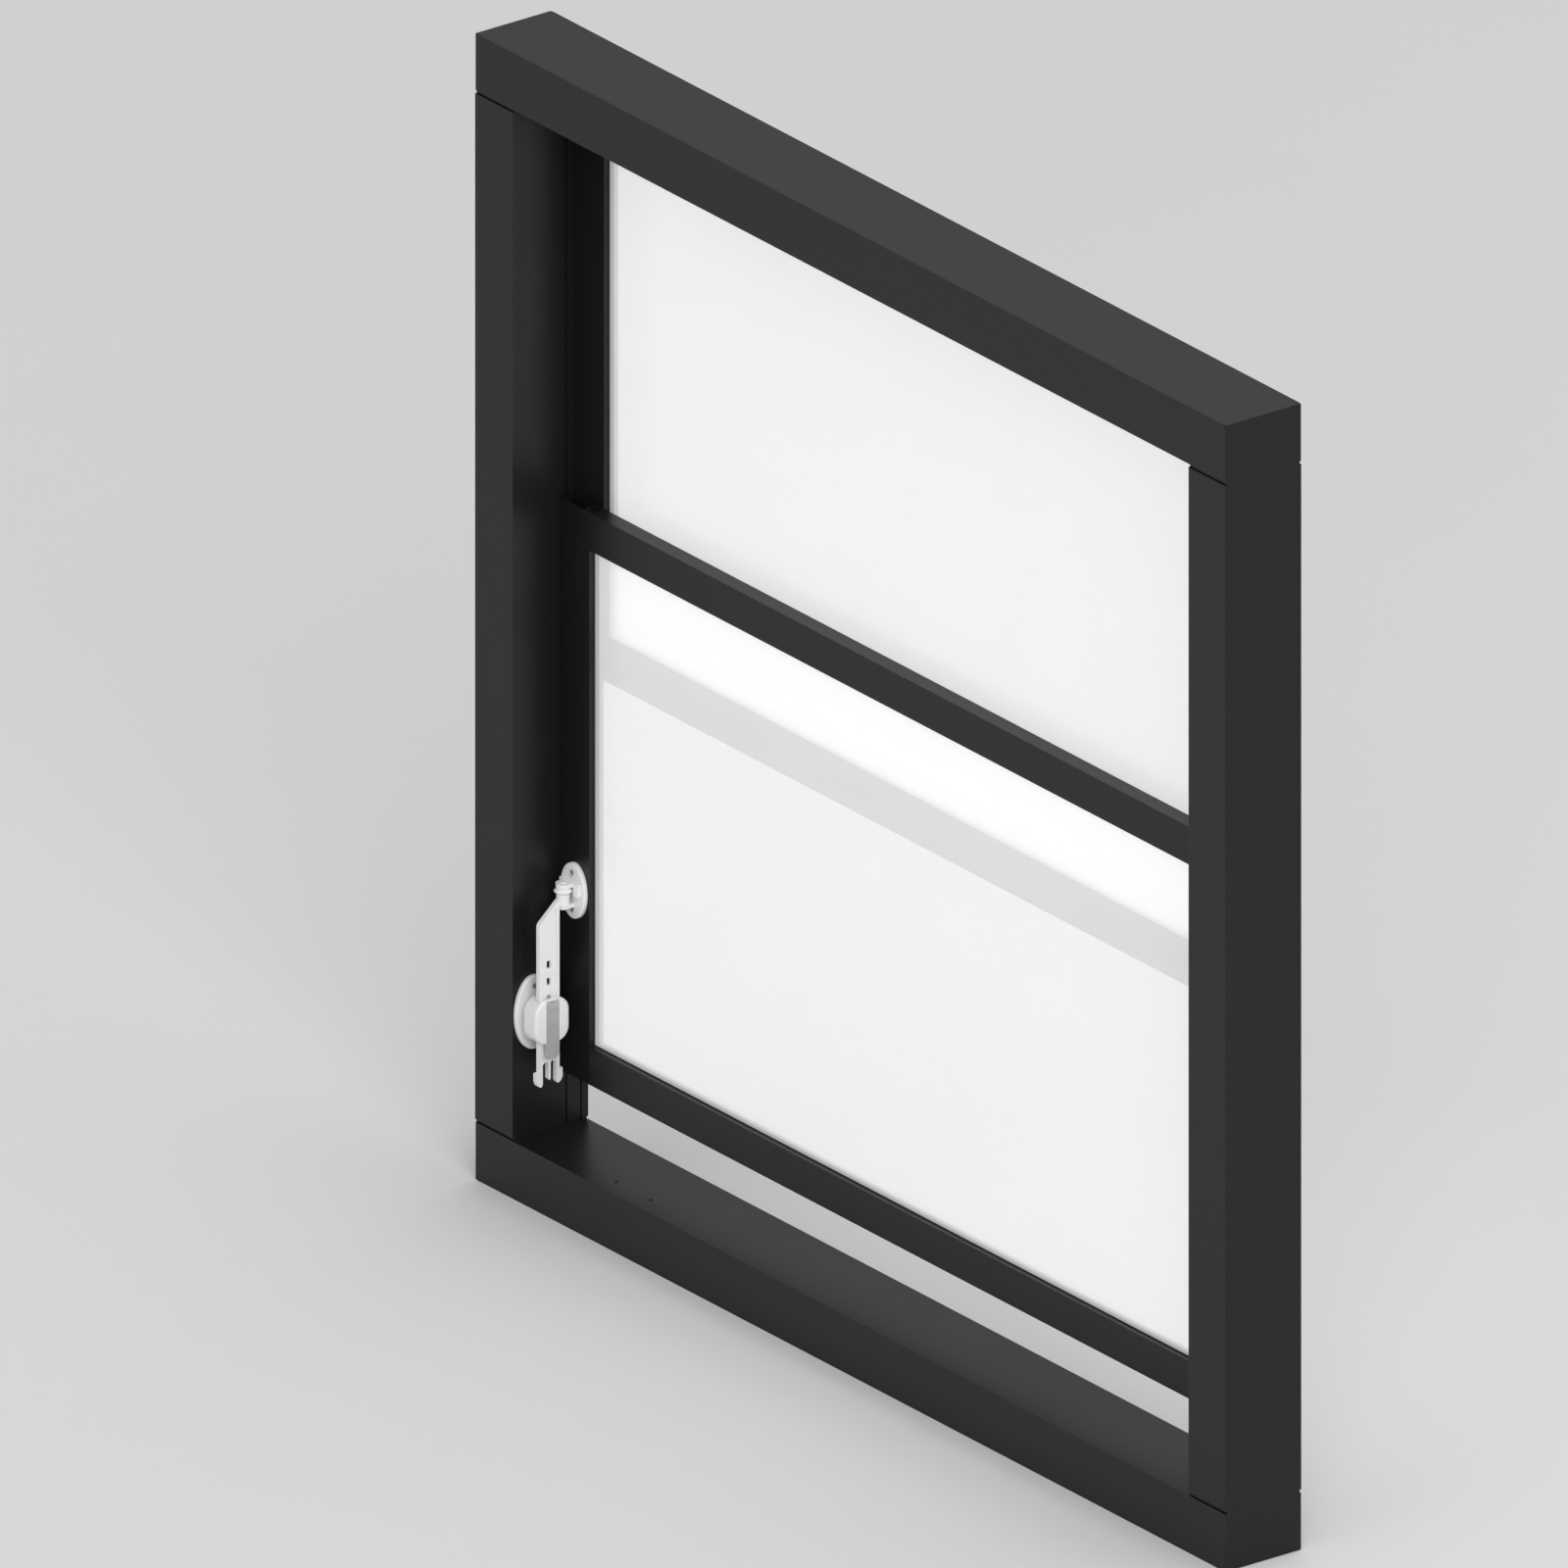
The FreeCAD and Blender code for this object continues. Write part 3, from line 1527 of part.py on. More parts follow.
lever_front = size.slider_front + size.lever_proud
lever_back = lever_front - size.lever_thickness
lever_left = size.strap_centre - size.lever_width / 2
lever_right = size.strap_centre + size.lever_width / 2
lever_axis_x = (lever_front + lever_back) / 2
lever_axis = (lever_axis_x, size.lever_pivot_height)
lever_room = (lever_left - size.lever_side_gap, lever_right + size.lever_side_gap)
pin_ends = (lever_room[0] - size.lever_pin_reach, lever_room[1] + size.lever_pin_reach)
cover_pilots = [
    cylinder(
        f"slider_cover_pilot_{n}",
        "x",
        place,
        (size.slider_split, size.slider_front - size.slider_wall),
        size.slider_screw_radius + size.hinge_clearance,
    )
    for n, place in enumerate(slider_screw_places)
]
sub_part(
    "slider_cover",
    cut(
        "slider_cover",
        slider_half("slider_cover", size.slider_split, size.slider_front, True),
        box("cover_strap_room", (size.slider_split, room_front), strap_room, slider_heights),
        box(
            "lever_channel",
            (lever_back - size.lever_side_gap, size.slider_front),
            lever_room,
            (size.slider_bottom, slider_top),
        ),
        box(
            "tooth_window",
            (room_front - 1, size.slider_front),
            (size.strap_centre - size.tooth_width / 2 - 1, size.strap_centre + size.tooth_width / 2 + 1),
            (size.tooth_level - 5, size.tooth_level + 5),
        ),
        cylinder("lever_pin_way", "y", lever_axis, pin_ends, size.lever_pin_radius),
        *cover_pilots,
    ),
)
sub_part(
    "slider_screws",
    *[
        fuse(
            f"slider_screw_{n}",
            cylinder(
                f"slider_screw_head_{n}",
                "x",
                place,
                (size.slider_back + size.slider_screw_sunk, screw_seat_end),
                2 * size.slider_screw_radius,
            ),
            cylinder(
                f"slider_screw_shank_{n}",
                "x",
                place,
                (screw_seat_end, size.slider_front - size.slider_screw_cover),
                size.slider_screw_radius,
            ),
        )
        for n, place in enumerate(slider_screw_places)
    ],
)


# ---- Release lever, its pin and its spring ----

lever_blade = box(
    "lever_blade",
    (lever_back, lever_front),
    (lever_left, lever_right),
    (size.lever_tail, size.lever_pivot_height),
)
lever_bearing = cylinder(
    "lever_bearing", "y", lever_axis, (lever_left, lever_right), size.lever_thickness / 2
)
tooth_tip = strap_front - size.strap_recess + rung_height + size.tooth_clearance
tooth = box(
    "lever_tooth",
    (tooth_tip, lever_back),
    (size.strap_centre - size.tooth_width / 2, size.strap_centre + size.tooth_width / 2),
    (size.tooth_level - size.tooth_height / 2, size.tooth_level + size.tooth_height / 2),
)
spring_room = box(
    "lever_spring_room",
    (lever_back, lever_front - size.spring_cover),
    (size.strap_centre - size.spring_room_half, size.strap_centre + size.spring_room_half),
    (
        size.lever_pivot_height - size.spring_room_rise,
        size.lever_pivot_height + size.spring_room_rise,
    ),
)
finger_line = box(
    "lever_finger_line",
    (lever_front - size.finger_line_depth, lever_front),
    (lever_left, lever_right),
    (size.finger_line_level, size.finger_line_level + size.finger_line_height),
)
grip_lines = [
    box(
        f"lever_grip_{n + 1}",
        (lever_front - size.grip_depth, lever_front),
        (size.strap_centre - size.grip_half, size.strap_centre + size.grip_half),
        (
            size.tooth_level + n * size.grip_pitch - size.grip_width / 2,
            size.tooth_level + n * size.grip_pitch + size.grip_width / 2,
        ),
    )
    for n in (-1, 0, 1)
]
lever_tail_round = cylinder(
    "lever_tail_round",
    "x",
    (size.strap_centre, size.lever_tail + size.lever_tail_rise),
    (lever_back, lever_front),
    size.lever_tail_radius,
)
lever_tail_block = box(
    "lever_tail_block",
    (lever_back, lever_front),
    (lever_left, lever_right),
    (size.lever_tail, size.lever_tail + size.lever_tail_rise),
)
lever_tail_waste = cut("lever_tail_waste", lever_tail_block, lever_tail_round)
sub_part(
    "release_lever",
    cut(
        "release_lever",
        fuse("lever_solid", lever_blade, lever_bearing, tooth),
        cylinder(
            "lever_pin_bore",
            "y",
            lever_axis,
            (lever_left, lever_right),
            size.lever_pin_radius + size.hinge_clearance,
        ),
        spring_room,
        finger_line,
        lever_tail_waste,
        *grip_lines,
    ),
)
sub_part("lever_pin", cylinder("lever_pin", "y", lever_axis, pin_ends, size.lever_pin_radius))
spring_reach = size.spring_room_half - size.spring_end_gap
spring_span = (size.strap_centre - spring_reach, size.strap_centre + spring_reach)
spring_inside = size.lever_pin_radius + size.hinge_clearance
spring_outside = spring_inside + size.spring_wire
sub_part(
    "lever_spring",
    cut(
        "lever_spring",
        cylinder("lever_spring_outside", "y", lever_axis, spring_span, spring_outside),
        cylinder("lever_spring_inside", "y", lever_axis, spring_span, spring_inside),
    ),
)


# ---- Checks and export ----

doc.recompute()
for thing in doc.Objects:
    if "Invalid" in thing.State or "Error" in thing.State:
        raise RuntimeError(f"{thing.Label} failed: {thing.State}")
os.makedirs("parts", exist_ok=True)
for piece in sub_parts:
    if piece.Shape.isNull() or not piece.Shape.isValid() or not piece.Shape.Solids:
        raise RuntimeError(f"{piece.Label} has no valid shape")
    piece.Shape.exportStep(f"parts/{piece.Label}.step")
    print(f"{piece.Label}: {len(piece.Shape.Solids)} solids, {piece.Shape.Volume:.1f} mm3")
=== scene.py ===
import json
import math

import bmesh
import bpy
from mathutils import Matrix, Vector

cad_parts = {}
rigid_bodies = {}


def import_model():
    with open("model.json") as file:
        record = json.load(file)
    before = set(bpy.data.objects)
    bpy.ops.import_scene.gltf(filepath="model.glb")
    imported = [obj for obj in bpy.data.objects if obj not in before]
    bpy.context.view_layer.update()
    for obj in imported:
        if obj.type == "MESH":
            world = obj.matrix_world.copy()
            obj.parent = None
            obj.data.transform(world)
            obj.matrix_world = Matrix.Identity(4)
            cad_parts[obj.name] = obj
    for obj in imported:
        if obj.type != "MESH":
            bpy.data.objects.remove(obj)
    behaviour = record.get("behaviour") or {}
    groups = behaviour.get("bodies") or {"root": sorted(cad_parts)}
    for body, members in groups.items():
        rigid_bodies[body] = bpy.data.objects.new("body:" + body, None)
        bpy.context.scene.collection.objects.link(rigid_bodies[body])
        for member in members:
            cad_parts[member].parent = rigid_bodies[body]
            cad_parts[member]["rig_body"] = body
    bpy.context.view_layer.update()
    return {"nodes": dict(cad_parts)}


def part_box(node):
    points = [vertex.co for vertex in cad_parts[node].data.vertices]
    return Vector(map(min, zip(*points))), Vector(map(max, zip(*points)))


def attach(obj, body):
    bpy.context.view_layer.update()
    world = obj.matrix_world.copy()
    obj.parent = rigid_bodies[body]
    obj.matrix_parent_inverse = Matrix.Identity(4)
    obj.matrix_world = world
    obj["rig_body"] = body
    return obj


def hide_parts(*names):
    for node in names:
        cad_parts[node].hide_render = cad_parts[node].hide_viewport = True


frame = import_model()
scene = bpy.context.scene


# ---- Studio ----
# A pale seamless floor in a bright even room, with one softbox overhead and a larger one far to the right.
# A black screen gives the soft arrises a dark edge. The camera looks down from the right, with no perspective.


class Wire:
    """One socket in a node tree. Arithmetic on it adds Math nodes, and node() adds any other node."""

    def __init__(self, tree, socket=None):
        self.tree, self.socket = tree, socket

    def node(self, kind, settings, values, take=0):
        made = self.tree.nodes.new(kind)
        for setting, choice in settings.items():
            setattr(made, setting, choice)
        for name, value in values.items():
            if isinstance(value, Wire):
                self.tree.links.new(value.socket, made.inputs[name])
            else:
                made.inputs[name].default_value = value
        return Wire(self.tree, made.outputs[take] if made.outputs else None)

    def maths(self, operation, first, second=0.0):
        return self.node("ShaderNodeMath", {"operation": operation}, {0: first, 1: second})

    def __add__(self, other):
        return self.maths("ADD", self, other)

    def __mul__(self, other):
        return self.maths("MULTIPLY", self, other)

    def __sub__(self, other):
        return self.maths("SUBTRACT", self, other)

    def __truediv__(self, other):
        return self.maths("DIVIDE", self, other)

    __radd__ = __add__
    __rmul__ = __mul__

    def noise(self, place, scale, detail=2.0):
        """Random cloud from 0 to 1, with scale features to the metre."""
        values = {"Vector": place, "Scale": scale, "Detail": detail}
        return self.node("ShaderNodeTexNoise", {}, values)

    def between(self, mask, dark, light):
        """The colour dark where mask is 0, and light where it is 1."""
        return self.node("ShaderNodeMix", {"data_type": "RGBA"}, {0: mask, 6: dark, 7: light}, take=2)

    def bump(self, height, distance):
        values = {"Strength": 0.3, "Distance": distance, "Height": height}
        return self.node("ShaderNodeBump", {}, values)


def grey(level):
    return (level, level, level, 1)


def new_finish(name):
    """An empty material, a wire to start its nodes from, and its Object coordinates."""
    material = bpy.data.materials.new(name)
    material.use_nodes = True
    material.node_tree.nodes.clear()
    start = Wire(material.node_tree)
    return material, start, start.node("ShaderNodeTexCoord", {}, {}, take="Object")


def coat_with(start, values):
    skin = start.node("ShaderNodeBsdfPrincipled", {}, values)
    start.node("ShaderNodeOutputMaterial", {}, {"Surface": skin})


scene.view_settings.view_transform = "Standard"
room = bpy.data.worlds.new("studio_room")
room.use_nodes = True
room.node_tree.nodes.clear()
air = Wire(room.node_tree)
direction = air.node("ShaderNodeTexCoord", {}, {}, take="Generated")
height = air.node("ShaderNodeSeparateXYZ", {}, {0: direction}, take=2)
wall_to_ceiling = air.node("ShaderNodeMapRange", {}, {0: height, 1: 0.05, 2: 0.75, 3: 0.3, 4: 0.93})
screen_side = (-0.73, -0.39, 0.56)
towards_screen = air.node(
    "ShaderNodeVectorMath", {"operation": "DOT_PRODUCT"}, {0: direction, 1: screen_side}, take=1
)
black_screen = air.node("ShaderNodeMapRange", {}, {0: towards_screen, 1: 0.76, 2: 0.9, 3: 1.0, 4: 0.03})
walls = air.node("ShaderNodeBackground", {}, {"Strength": wall_to_ceiling * black_screen})
air.node("ShaderNodeOutputWorld", {}, {"Surface": walls})
walls.socket.node.inputs["Color"].default_value = grey(1)
scene.world = room


window_middle = Vector((0, 0, 0.4))


def softbox(name, place, size, power):
    """A square area light that faces the middle of the window."""
    lamp = bpy.data.lights.new(name, "AREA")
    lamp.size = size
    lamp.energy = power
    holder = bpy.data.objects.new(name, lamp)
    holder.location = place
    holder.rotation_euler = (Vector(place) - window_middle).to_track_quat("Z", "Y").to_euler()
    scene.collection.objects.link(holder)


softbox("softbox_overhead", (0.6, -0.6, 4.2), size=3.2, power=14)
softbox("softbox_right", (14.0, -7.7, 8.4), size=10.5, power=1270)

floor_material, paint, place = new_finish("seamless_floor")
clouds = paint.noise(place, 3.0, 3.0)
coat_with(
    paint,
    {
        "Base Color": paint.between(clouds, grey(0.775), grey(0.79)),
        "Roughness": 0.8 + 0.1 * clouds,
        "Specular IOR Level": 0.2,
    },
)
floor_mesh = bpy.data.meshes.new("floor")
floor_half = 14
floor_level = -0.0002
floor_corners = [
    (x * floor_half, y * floor_half, floor_level) for x, y in ((-1, -1), (1, -1), (1, 1), (-1, 1))
]
floor_mesh.from_pydata(floor_corners, [], [(0, 1, 2, 3)])
floor_mesh.materials.append(floor_material)
floor = bpy.data.objects.new("floor", floor_mesh)
scene.collection.objects.link(floor)

lens = bpy.data.cameras.new("camera")
lens.type = "ORTHO"
lens.ortho_scale = 1.2569
camera = bpy.data.objects.new("camera", lens)
towards_camera = Vector((0.7337, -0.5529, 0.3947))
camera_aim = Vector((-0.1389, 0, 0.4587))
camera_distance = 4
camera.location = camera_aim + camera_distance * towards_camera
camera.rotation_euler = towards_camera.to_track_quat("Z", "Y").to_euler()
scene.collection.objects.link(camera)
scene.camera = camera


# ---- Outer frame ----
# Head, sill and jambs are hollow aluminium extrusions with plain end caps, screwed together at the corners.
# They are coated with satin black powder, which leaves a fine orange-peel skin and slightly soft arrises.

MM = 0.001


def powder_coat(name, level):
    material, paint, place = new_finish(name)
    peel = paint.noise(place, 900.0, 1.0)
    clouds = paint.noise(place, 7.0, 3.0)
    coat_with(
        paint,
        {
            "Base Color": paint.between(clouds, grey(level * 0.93), grey(level * 1.07)),
            "Roughness": 0.3 + 0.08 * clouds,
            "Normal": paint.bump(peel, 0.00006),
            "Specular IOR Level": 0.265,
        },
    )
    return material


def show_as(piece, node):
    """Puts a finished piece in the place of a CAD part, on the same body."""
    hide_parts(node)
    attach(piece, frame["nodes"][node]["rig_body"])


def eased(node, material, radius, butted=()):
    """A CAD part as one closed mesh with its corners eased by radius, but left sharp where it is butted.
    Each butted place gives the distance from the origin along one or two axes, 0 to 2."""
    mesh = bpy.data.meshes.new(node + "_eased")
    shape = bmesh.new()
    shape.from_mesh(frame["nodes"][node].data)
    bmesh.ops.remove_doubles(shape, verts=shape.verts, dist=0.000002)
    bmesh.ops.dissolve_limit(
        shape, angle_limit=math.radians(0.6), verts=shape.verts, edges=shape.edges, delimit={"NORMAL"}
    )
    weights = shape.edges.layers.float.new("bevel_weight_edge")
    for edge in shape.edges:
        fold = edge.calc_face_angle() if edge.is_manifold else 0
        corner = fold > math.radians(35)
        joint = any(
            all(abs(abs(end.co[axis]) - place[axis]) < 0.00001 for end in edge.verts for axis in place)
            for place in butted
        )
        edge[weights] = float(corner and not joint)
        edge.smooth = fold <= math.radians(28)
    for face in shape.faces:
        face.smooth = True
    shape.to_mesh(mesh)
    shape.free()
    mesh.materials.clear()
    mesh.materials.append(material)
    piece = bpy.data.objects.new(node + "_eased", mesh)
    scene.collection.objects.link(piece)
    if radius:
        easing = piece.modifiers.new("easing", "BEVEL")
        easing.width = radius
        easing.segments = 3
        easing.limit_method = "WEIGHT"
        easing.harden_normals = True
    show_as(piece, node)


frame_coat = powder_coat("black_powder_coat_frame", 0.01)
cap_joint = abs(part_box("frame_head")[0].x)
flush_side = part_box("right_jamb")[1].x
seams = [{0: flush_side, 2: height} for height in (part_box("frame_sill")[1].z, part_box("frame_head")[0].z)]
for node in ("frame_head", "frame_sill", "head_end_caps", "sill_end_caps"):
    eased(node, frame_coat, 1.0 * MM, [{0: cap_joint}, *seams])
for node in ("left_jamb", "right_jamb"):
    eased(node, frame_coat, 0.6 * MM, seams)


# ---- Corner blocks and cleats ----
# Drawn aluminium blocks inside the jamb ends and the rail ends, which the corner screws bite into.
# They are left mill finished, with the fine lines of the die.

mill_aluminium, paint, place = new_finish("mill_aluminium")
stretched = paint.node("ShaderNodeMapping", {}, {"Vector": place, "Scale": (60, 60, 1500)})
drawn = paint.noise(stretched, 1.0, 3.0)
coat_with(
    paint,
    {
        "Base Color": paint.between(drawn, grey(0.5), grey(0.62)),
        "Metallic": 1.0,
        "Roughness": 0.32 + 0.2 * drawn,
        "Normal": paint.bump(drawn, 0.00002),
    },
)
for node in ("corner_blocks", "lower_corner_cleats", "upper_corner_cleats", "balance_anchors"):
    eased(node, mill_aluminium, 0.3 * MM)


# ---- Screws ----
# Zinc-plated steel screws with a cross drive and a rolled thread. Flat countersunk heads hold the two white
# plates, and cheese heads hold the corners and the slider's two halves.

zinc, paint, place = new_finish("zinc_plate")
bloom = paint.noise(place, 700.0, 3.0)
coat_with(
    paint,
    {
        "Base Color": paint.between(bloom, (0.52, 0.52, 0.51, 1), (0.68, 0.68, 0.67, 1)),
        "Metallic": 1.0,
        "Roughness": 0.45 + 0.2 * bloom,
    },
)


def new_recipe(name, inputs):
    """A geometry nodes tree that starts from a piece's points. Gives the tree and its inputs as wires."""
    tree = bpy.data.node_groups.new(name, "GeometryNodeTree")
    tree.interface.new_socket("Geometry", in_out="INPUT", socket_type="NodeSocketGeometry")
    for title in inputs:
        tree.interface.new_socket(title, in_out="INPUT", socket_type="NodeSocketFloat")
    tree.interface.new_socket("Geometry", in_out="OUTPUT", socket_type="NodeSocketGeometry")
    entry = tree.nodes.new("NodeGroupInput")
    return tree, {socket.name: Wire(tree, socket) for socket in entry.outputs if socket.name}


def end_recipe(tree, geometry, material):
    solid = geometry.node("GeometryNodeRealizeInstances", {}, {"Geometry": geometry})
    coated = geometry.node("GeometryNodeSetMaterial", {}, {"Geometry": solid, "Material": material})
    way_out = tree.nodes.new("NodeGroupOutput")
    tree.links.new(coated.socket, way_out.inputs["Geometry"])


def make_by_recipe(name, tree, sizes, points, aims):
    """Runs a recipe at points, each facing its aim, and keeps the result as a plain mesh."""
    seeds = bpy.data.meshes.new(name + "_points")
    seeds.from_pydata([tuple(point) for point in points], [], [])
    facing = seeds.attributes.new("aim", "FLOAT_VECTOR", "POINT")
    for n, aim in enumerate(aims):
        facing.data[n].vector = aim
    maker = bpy.data.objects.new(name + "_maker", seeds)
    scene.collection.objects.link(maker)
    recipe = maker.modifiers.new("recipe", "NODES")
    recipe.node_group = tree
    for socket in tree.interface.items_tree:
        if socket.in_out == "INPUT" and socket.name in sizes:
            recipe[socket.identifier] = float(sizes[socket.name])
    depsgraph = bpy.context.evaluated_depsgraph_get()
    mesh = bpy.data.meshes.new_from_object(maker.evaluated_get(depsgraph), depsgraph=depsgraph)
    mesh.name = name
    bpy.data.objects.remove(maker)
    if "aim" in mesh.attributes:
        mesh.attributes.remove(mesh.attributes["aim"])
    piece = bpy.data.objects.new(name, mesh)
    scene.collection.objects.link(piece)
    return piece


def facing_aim(wires, thing):
    """Places one thing at every point, with its own Z along the point's aim."""
    start = wires["Geometry"]
    aim = start.node("GeometryNodeInputNamedAttribute", {"data_type": "FLOAT_VECTOR"}, {"Name": "aim"})
    turn = start.node("FunctionNodeAlignRotationToVector", {"axis": "Z"}, {"Vector": aim})
    points = start.node("GeometryNodeMeshToPoints", {}, {"Mesh": start})
    return start.node(
        "GeometryNodeInstanceOnPoints", {}, {"Points": points, "Instance": thing, "Rotation": turn}
    )


def raised(thing, height):
    offset = thing.node("ShaderNodeCombineXYZ", {}, {2: height})
    return thing.node("GeometryNodeTransform", {}, {"Geometry": thing, "Translation": offset})


def joined(*things):
    """Joins wires of geometry. The last socket linked to a joining node comes first."""
    join = things[0].tree.nodes.new("GeometryNodeJoinGeometry")
    for thing in reversed(things):
        things[0].tree.links.new(thing.socket, join.inputs[0])
    return Wire(things[0].tree, join.outputs[0])


def flat_shaded_edges(thing, angle):
    """Smooth faces, with the edges over angle left sharp."""
    fold = thing.node("GeometryNodeInputMeshEdgeAngle", {}, {}, take="Unsigned Angle")
    sharp = thing.node("FunctionNodeCompare", {"operation": "GREATER_THAN"}, {0: fold, 1: angle})
    smooth = thing.node("GeometryNodeSetShadeSmooth", {"domain": "FACE"}, {0: thing})
    values = {0: smooth, 1: sharp, 2: False}
    return thing.node("GeometryNodeSetShadeSmooth", {"domain": "EDGE"}, values)


screw_recipe, wires = new_recipe(
    "screw",
    [
        "Head Radius",
        "Head Foot Radius",
        "Head Height",
        "Shank Radius",
        "Length",
        "Thread Pitch",
        "Thread Depth",
    ],
)
start = wires["Geometry"]
head = start.node(
    "GeometryNodeMeshCone",
    {},
    {
        "Vertices": 32,
        "Radius Top": wires["Head Radius"],
        "Radius Bottom": wires["Head Foot Radius"],
        "Depth": wires["Head Height"],
    },
)
head = raised(head, -1.0 * wires["Head Height"])
drive_long, drive_wide = 1.15 * wires["Head Radius"], 0.26 * wires["Head Radius"]
drive_deep = 0.9 * wires["Head Height"]
bars = []
for across, along in ((drive_long, drive_wide), (drive_wide, drive_long)):
    measures = start.node("ShaderNodeCombineXYZ", {}, {0: across, 1: along, 2: drive_deep})
    bars.append(start.node("GeometryNodeMeshCube", {}, {"Size": measures}))
boolean = {"operation": "DIFFERENCE", "solver": "EXACT"}
driven = start.node("GeometryNodeMeshBoolean", boolean, {0: head, 1: bars[0]})
driven = start.node("GeometryNodeMeshBoolean", boolean, {0: driven, 1: bars[1]})
shank_length = wires["Length"] - wires["Head Height"]
shank = start.node(
    "GeometryNodeMeshCylinder",
    {},
    {
        "Vertices": 12,
        "Side Segments": 48,
        "Radius": wires["Shank Radius"] - wires["Thread Depth"],
        "Depth": shank_length,
    },
)
spot = start.node("GeometryNodeInputPosition", {}, {})
x, y, z = (start.node("ShaderNodeSeparateXYZ", {}, {0: spot}, take=n) for n in range(3))
turned = start.maths("ARCTAN2", y, x)
groove = start.maths("SINE", turned + math.tau * z / wires["Thread Pitch"])
swell = 0.5 * wires["Thread Depth"] * (groove + 1.0)
outward = start.node("ShaderNodeCombineXYZ", {}, {0: x, 1: y, 2: 0.0})
outward = start.node("ShaderNodeVectorMath", {"operation": "NORMALIZE"}, {0: outward})
push = start.node("ShaderNodeVectorMath", {"operation": "SCALE"}, {0: outward, "Scale": swell})
shank = start.node("GeometryNodeSetPosition", {}, {"Geometry": shank, "Offset": push})
shank = raised(shank, -0.5 * (wires["Length"] + wires["Head Height"]))
screw = flat_shaded_edges(joined(driven, shank), 0.6)
end_recipe(screw_recipe, facing_aim(wires, screw), zinc)


def screw_sizes(head_radius, foot_radius, head_height, length):
    shank_radius = head_radius / 2
    return {
        "Head Radius": head_radius,
        "Head Foot Radius": foot_radius,
        "Head Height": head_height,
        "Shank Radius": shank_radius,
        "Length": length,
        "Thread Pitch": 0.5 * shank_radius,
        "Thread Depth": 0.2 * shank_radius,
    }


def fit_screws(node, sizes, places):
    """Screws in the place of a CAD set. places holds each head's outer centre and the way it faces."""
    piece = make_by_recipe(node + "_set", screw_recipe, sizes, *zip(*places))
    show_as(piece, node)


low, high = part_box("sash_plate_screws")
radius = (high.x - low.x) / 2
plate_screw = screw_sizes(radius, foot_radius=radius / 2, head_height=radius / 2, length=high.y - low.y)
centre = (low.x + high.x) / 2
fit_screws(
    "sash_plate_screws",
    plate_screw,
    [(Vector((centre, low.y, z)), (0, -1, 0)) for z in (low.z + radius, high.z - radius)],
)
low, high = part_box("jamb_plate_screws")
plate_screw["Length"] = high.x - low.x
centre = (low.y + high.y) / 2
fit_screws(
    "jamb_plate_screws",
    plate_screw,
    [(Vector((high.x, centre, z)), (1, 0, 0)) for z in (low.z + radius, high.z - radius)],
)
low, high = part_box("slider_screws")
radius = 2 * MM
fit_screws(
    "slider_screws",
    screw_sizes(radius, foot_radius=radius, head_height=1.4 * MM, length=high.x - low.x),
    [
        (Vector((low.x, low.y + radius, low.z + radius)), (-1, 0, 0)),
        (Vector((low.x, high.y - radius, high.z - radius)), (-1, 0, 0)),
    ],
)
low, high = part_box("corner_block_screws")
radius = 5 * MM
fit_screws(
    "corner_block_screws",
    screw_sizes(radius, foot_radius=radius, head_height=2.5 * MM, length=28 * MM),
    [
        (Vector((x, y, z)), (0, 0, way))
        for x in (low.x + radius, high.x - radius)
        for y in (low.y + radius, high.y - radius)
        for z, way in ((low.z, -1), (high.z, 1))
    ],
)
screw_tip = 384 * MM
for prefix in ("lower", "upper"):
    low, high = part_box(prefix + "_corner_screws")
    radius = 4 * MM
    fit_screws(
        prefix + "_corner_screws",
        screw_sizes(radius, foot_radius=radius, head_height=2.4 * MM, length=high.x - screw_tip),
        [
            (Vector((x, (low.y + high.y) / 2, z)), (way, 0, 0))
            for x, way in ((low.x, -1), (high.x, 1))
            for z in (low.z + radius, high.z - radius)
        ],
    )


# ---- Sashes ----
# Each sash is four slim grooved extrusions butted together, in the same black powder coat as the frame.
# The rails stop against the stiles, so those joints stay tight and sharp.

sash_coat = powder_coat("black_powder_coat_sash", 0.009)
butt = abs(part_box("lower_bottom_rail")[0].x)
for prefix in ("lower", "upper"):
    for part in ("left_stile", "right_stile", "bottom_rail", "top_rail"):
        eased(f"{prefix}_{part}", sash_coat, 0.7 * MM, [{0: butt}])


# ---- Glass ----
# One 4 mm pane in each sash, laminated with a milky white film, so dark things show through it as pale grey.
# Its constant white emission is painted light: a glow that brightens the pane, though the pane is no lamp.

pane_finish_with_painted_glow, paint, place = new_finish("milky_glass_painted_glow")
waves = paint.noise(place, 14.0, 2.0)
coat_with(
    paint,
    {
        "Base Color": paint.between(waves, grey(0.6), grey(0.62)),
        "Roughness": 0.1 + 0.05 * waves,
        "Alpha": 0.47,
        # Painted glow: a constant white emission brightens the pane beyond what the lamps give it.
        "Emission Color": grey(1),
        "Emission Strength": 0.515,
    },
)
for prefix in ("lower", "upper"):
    eased(prefix + "_glass", pane_finish_with_painted_glow, 0.3 * MM)


# ---- Gaskets, setting blocks and seals ----
# Black rubber: a soft-lipped gasket each side of the glass, two blocks under it, and a strip along the sash's
# outer edge. Extruded rubber has a dull bloom.

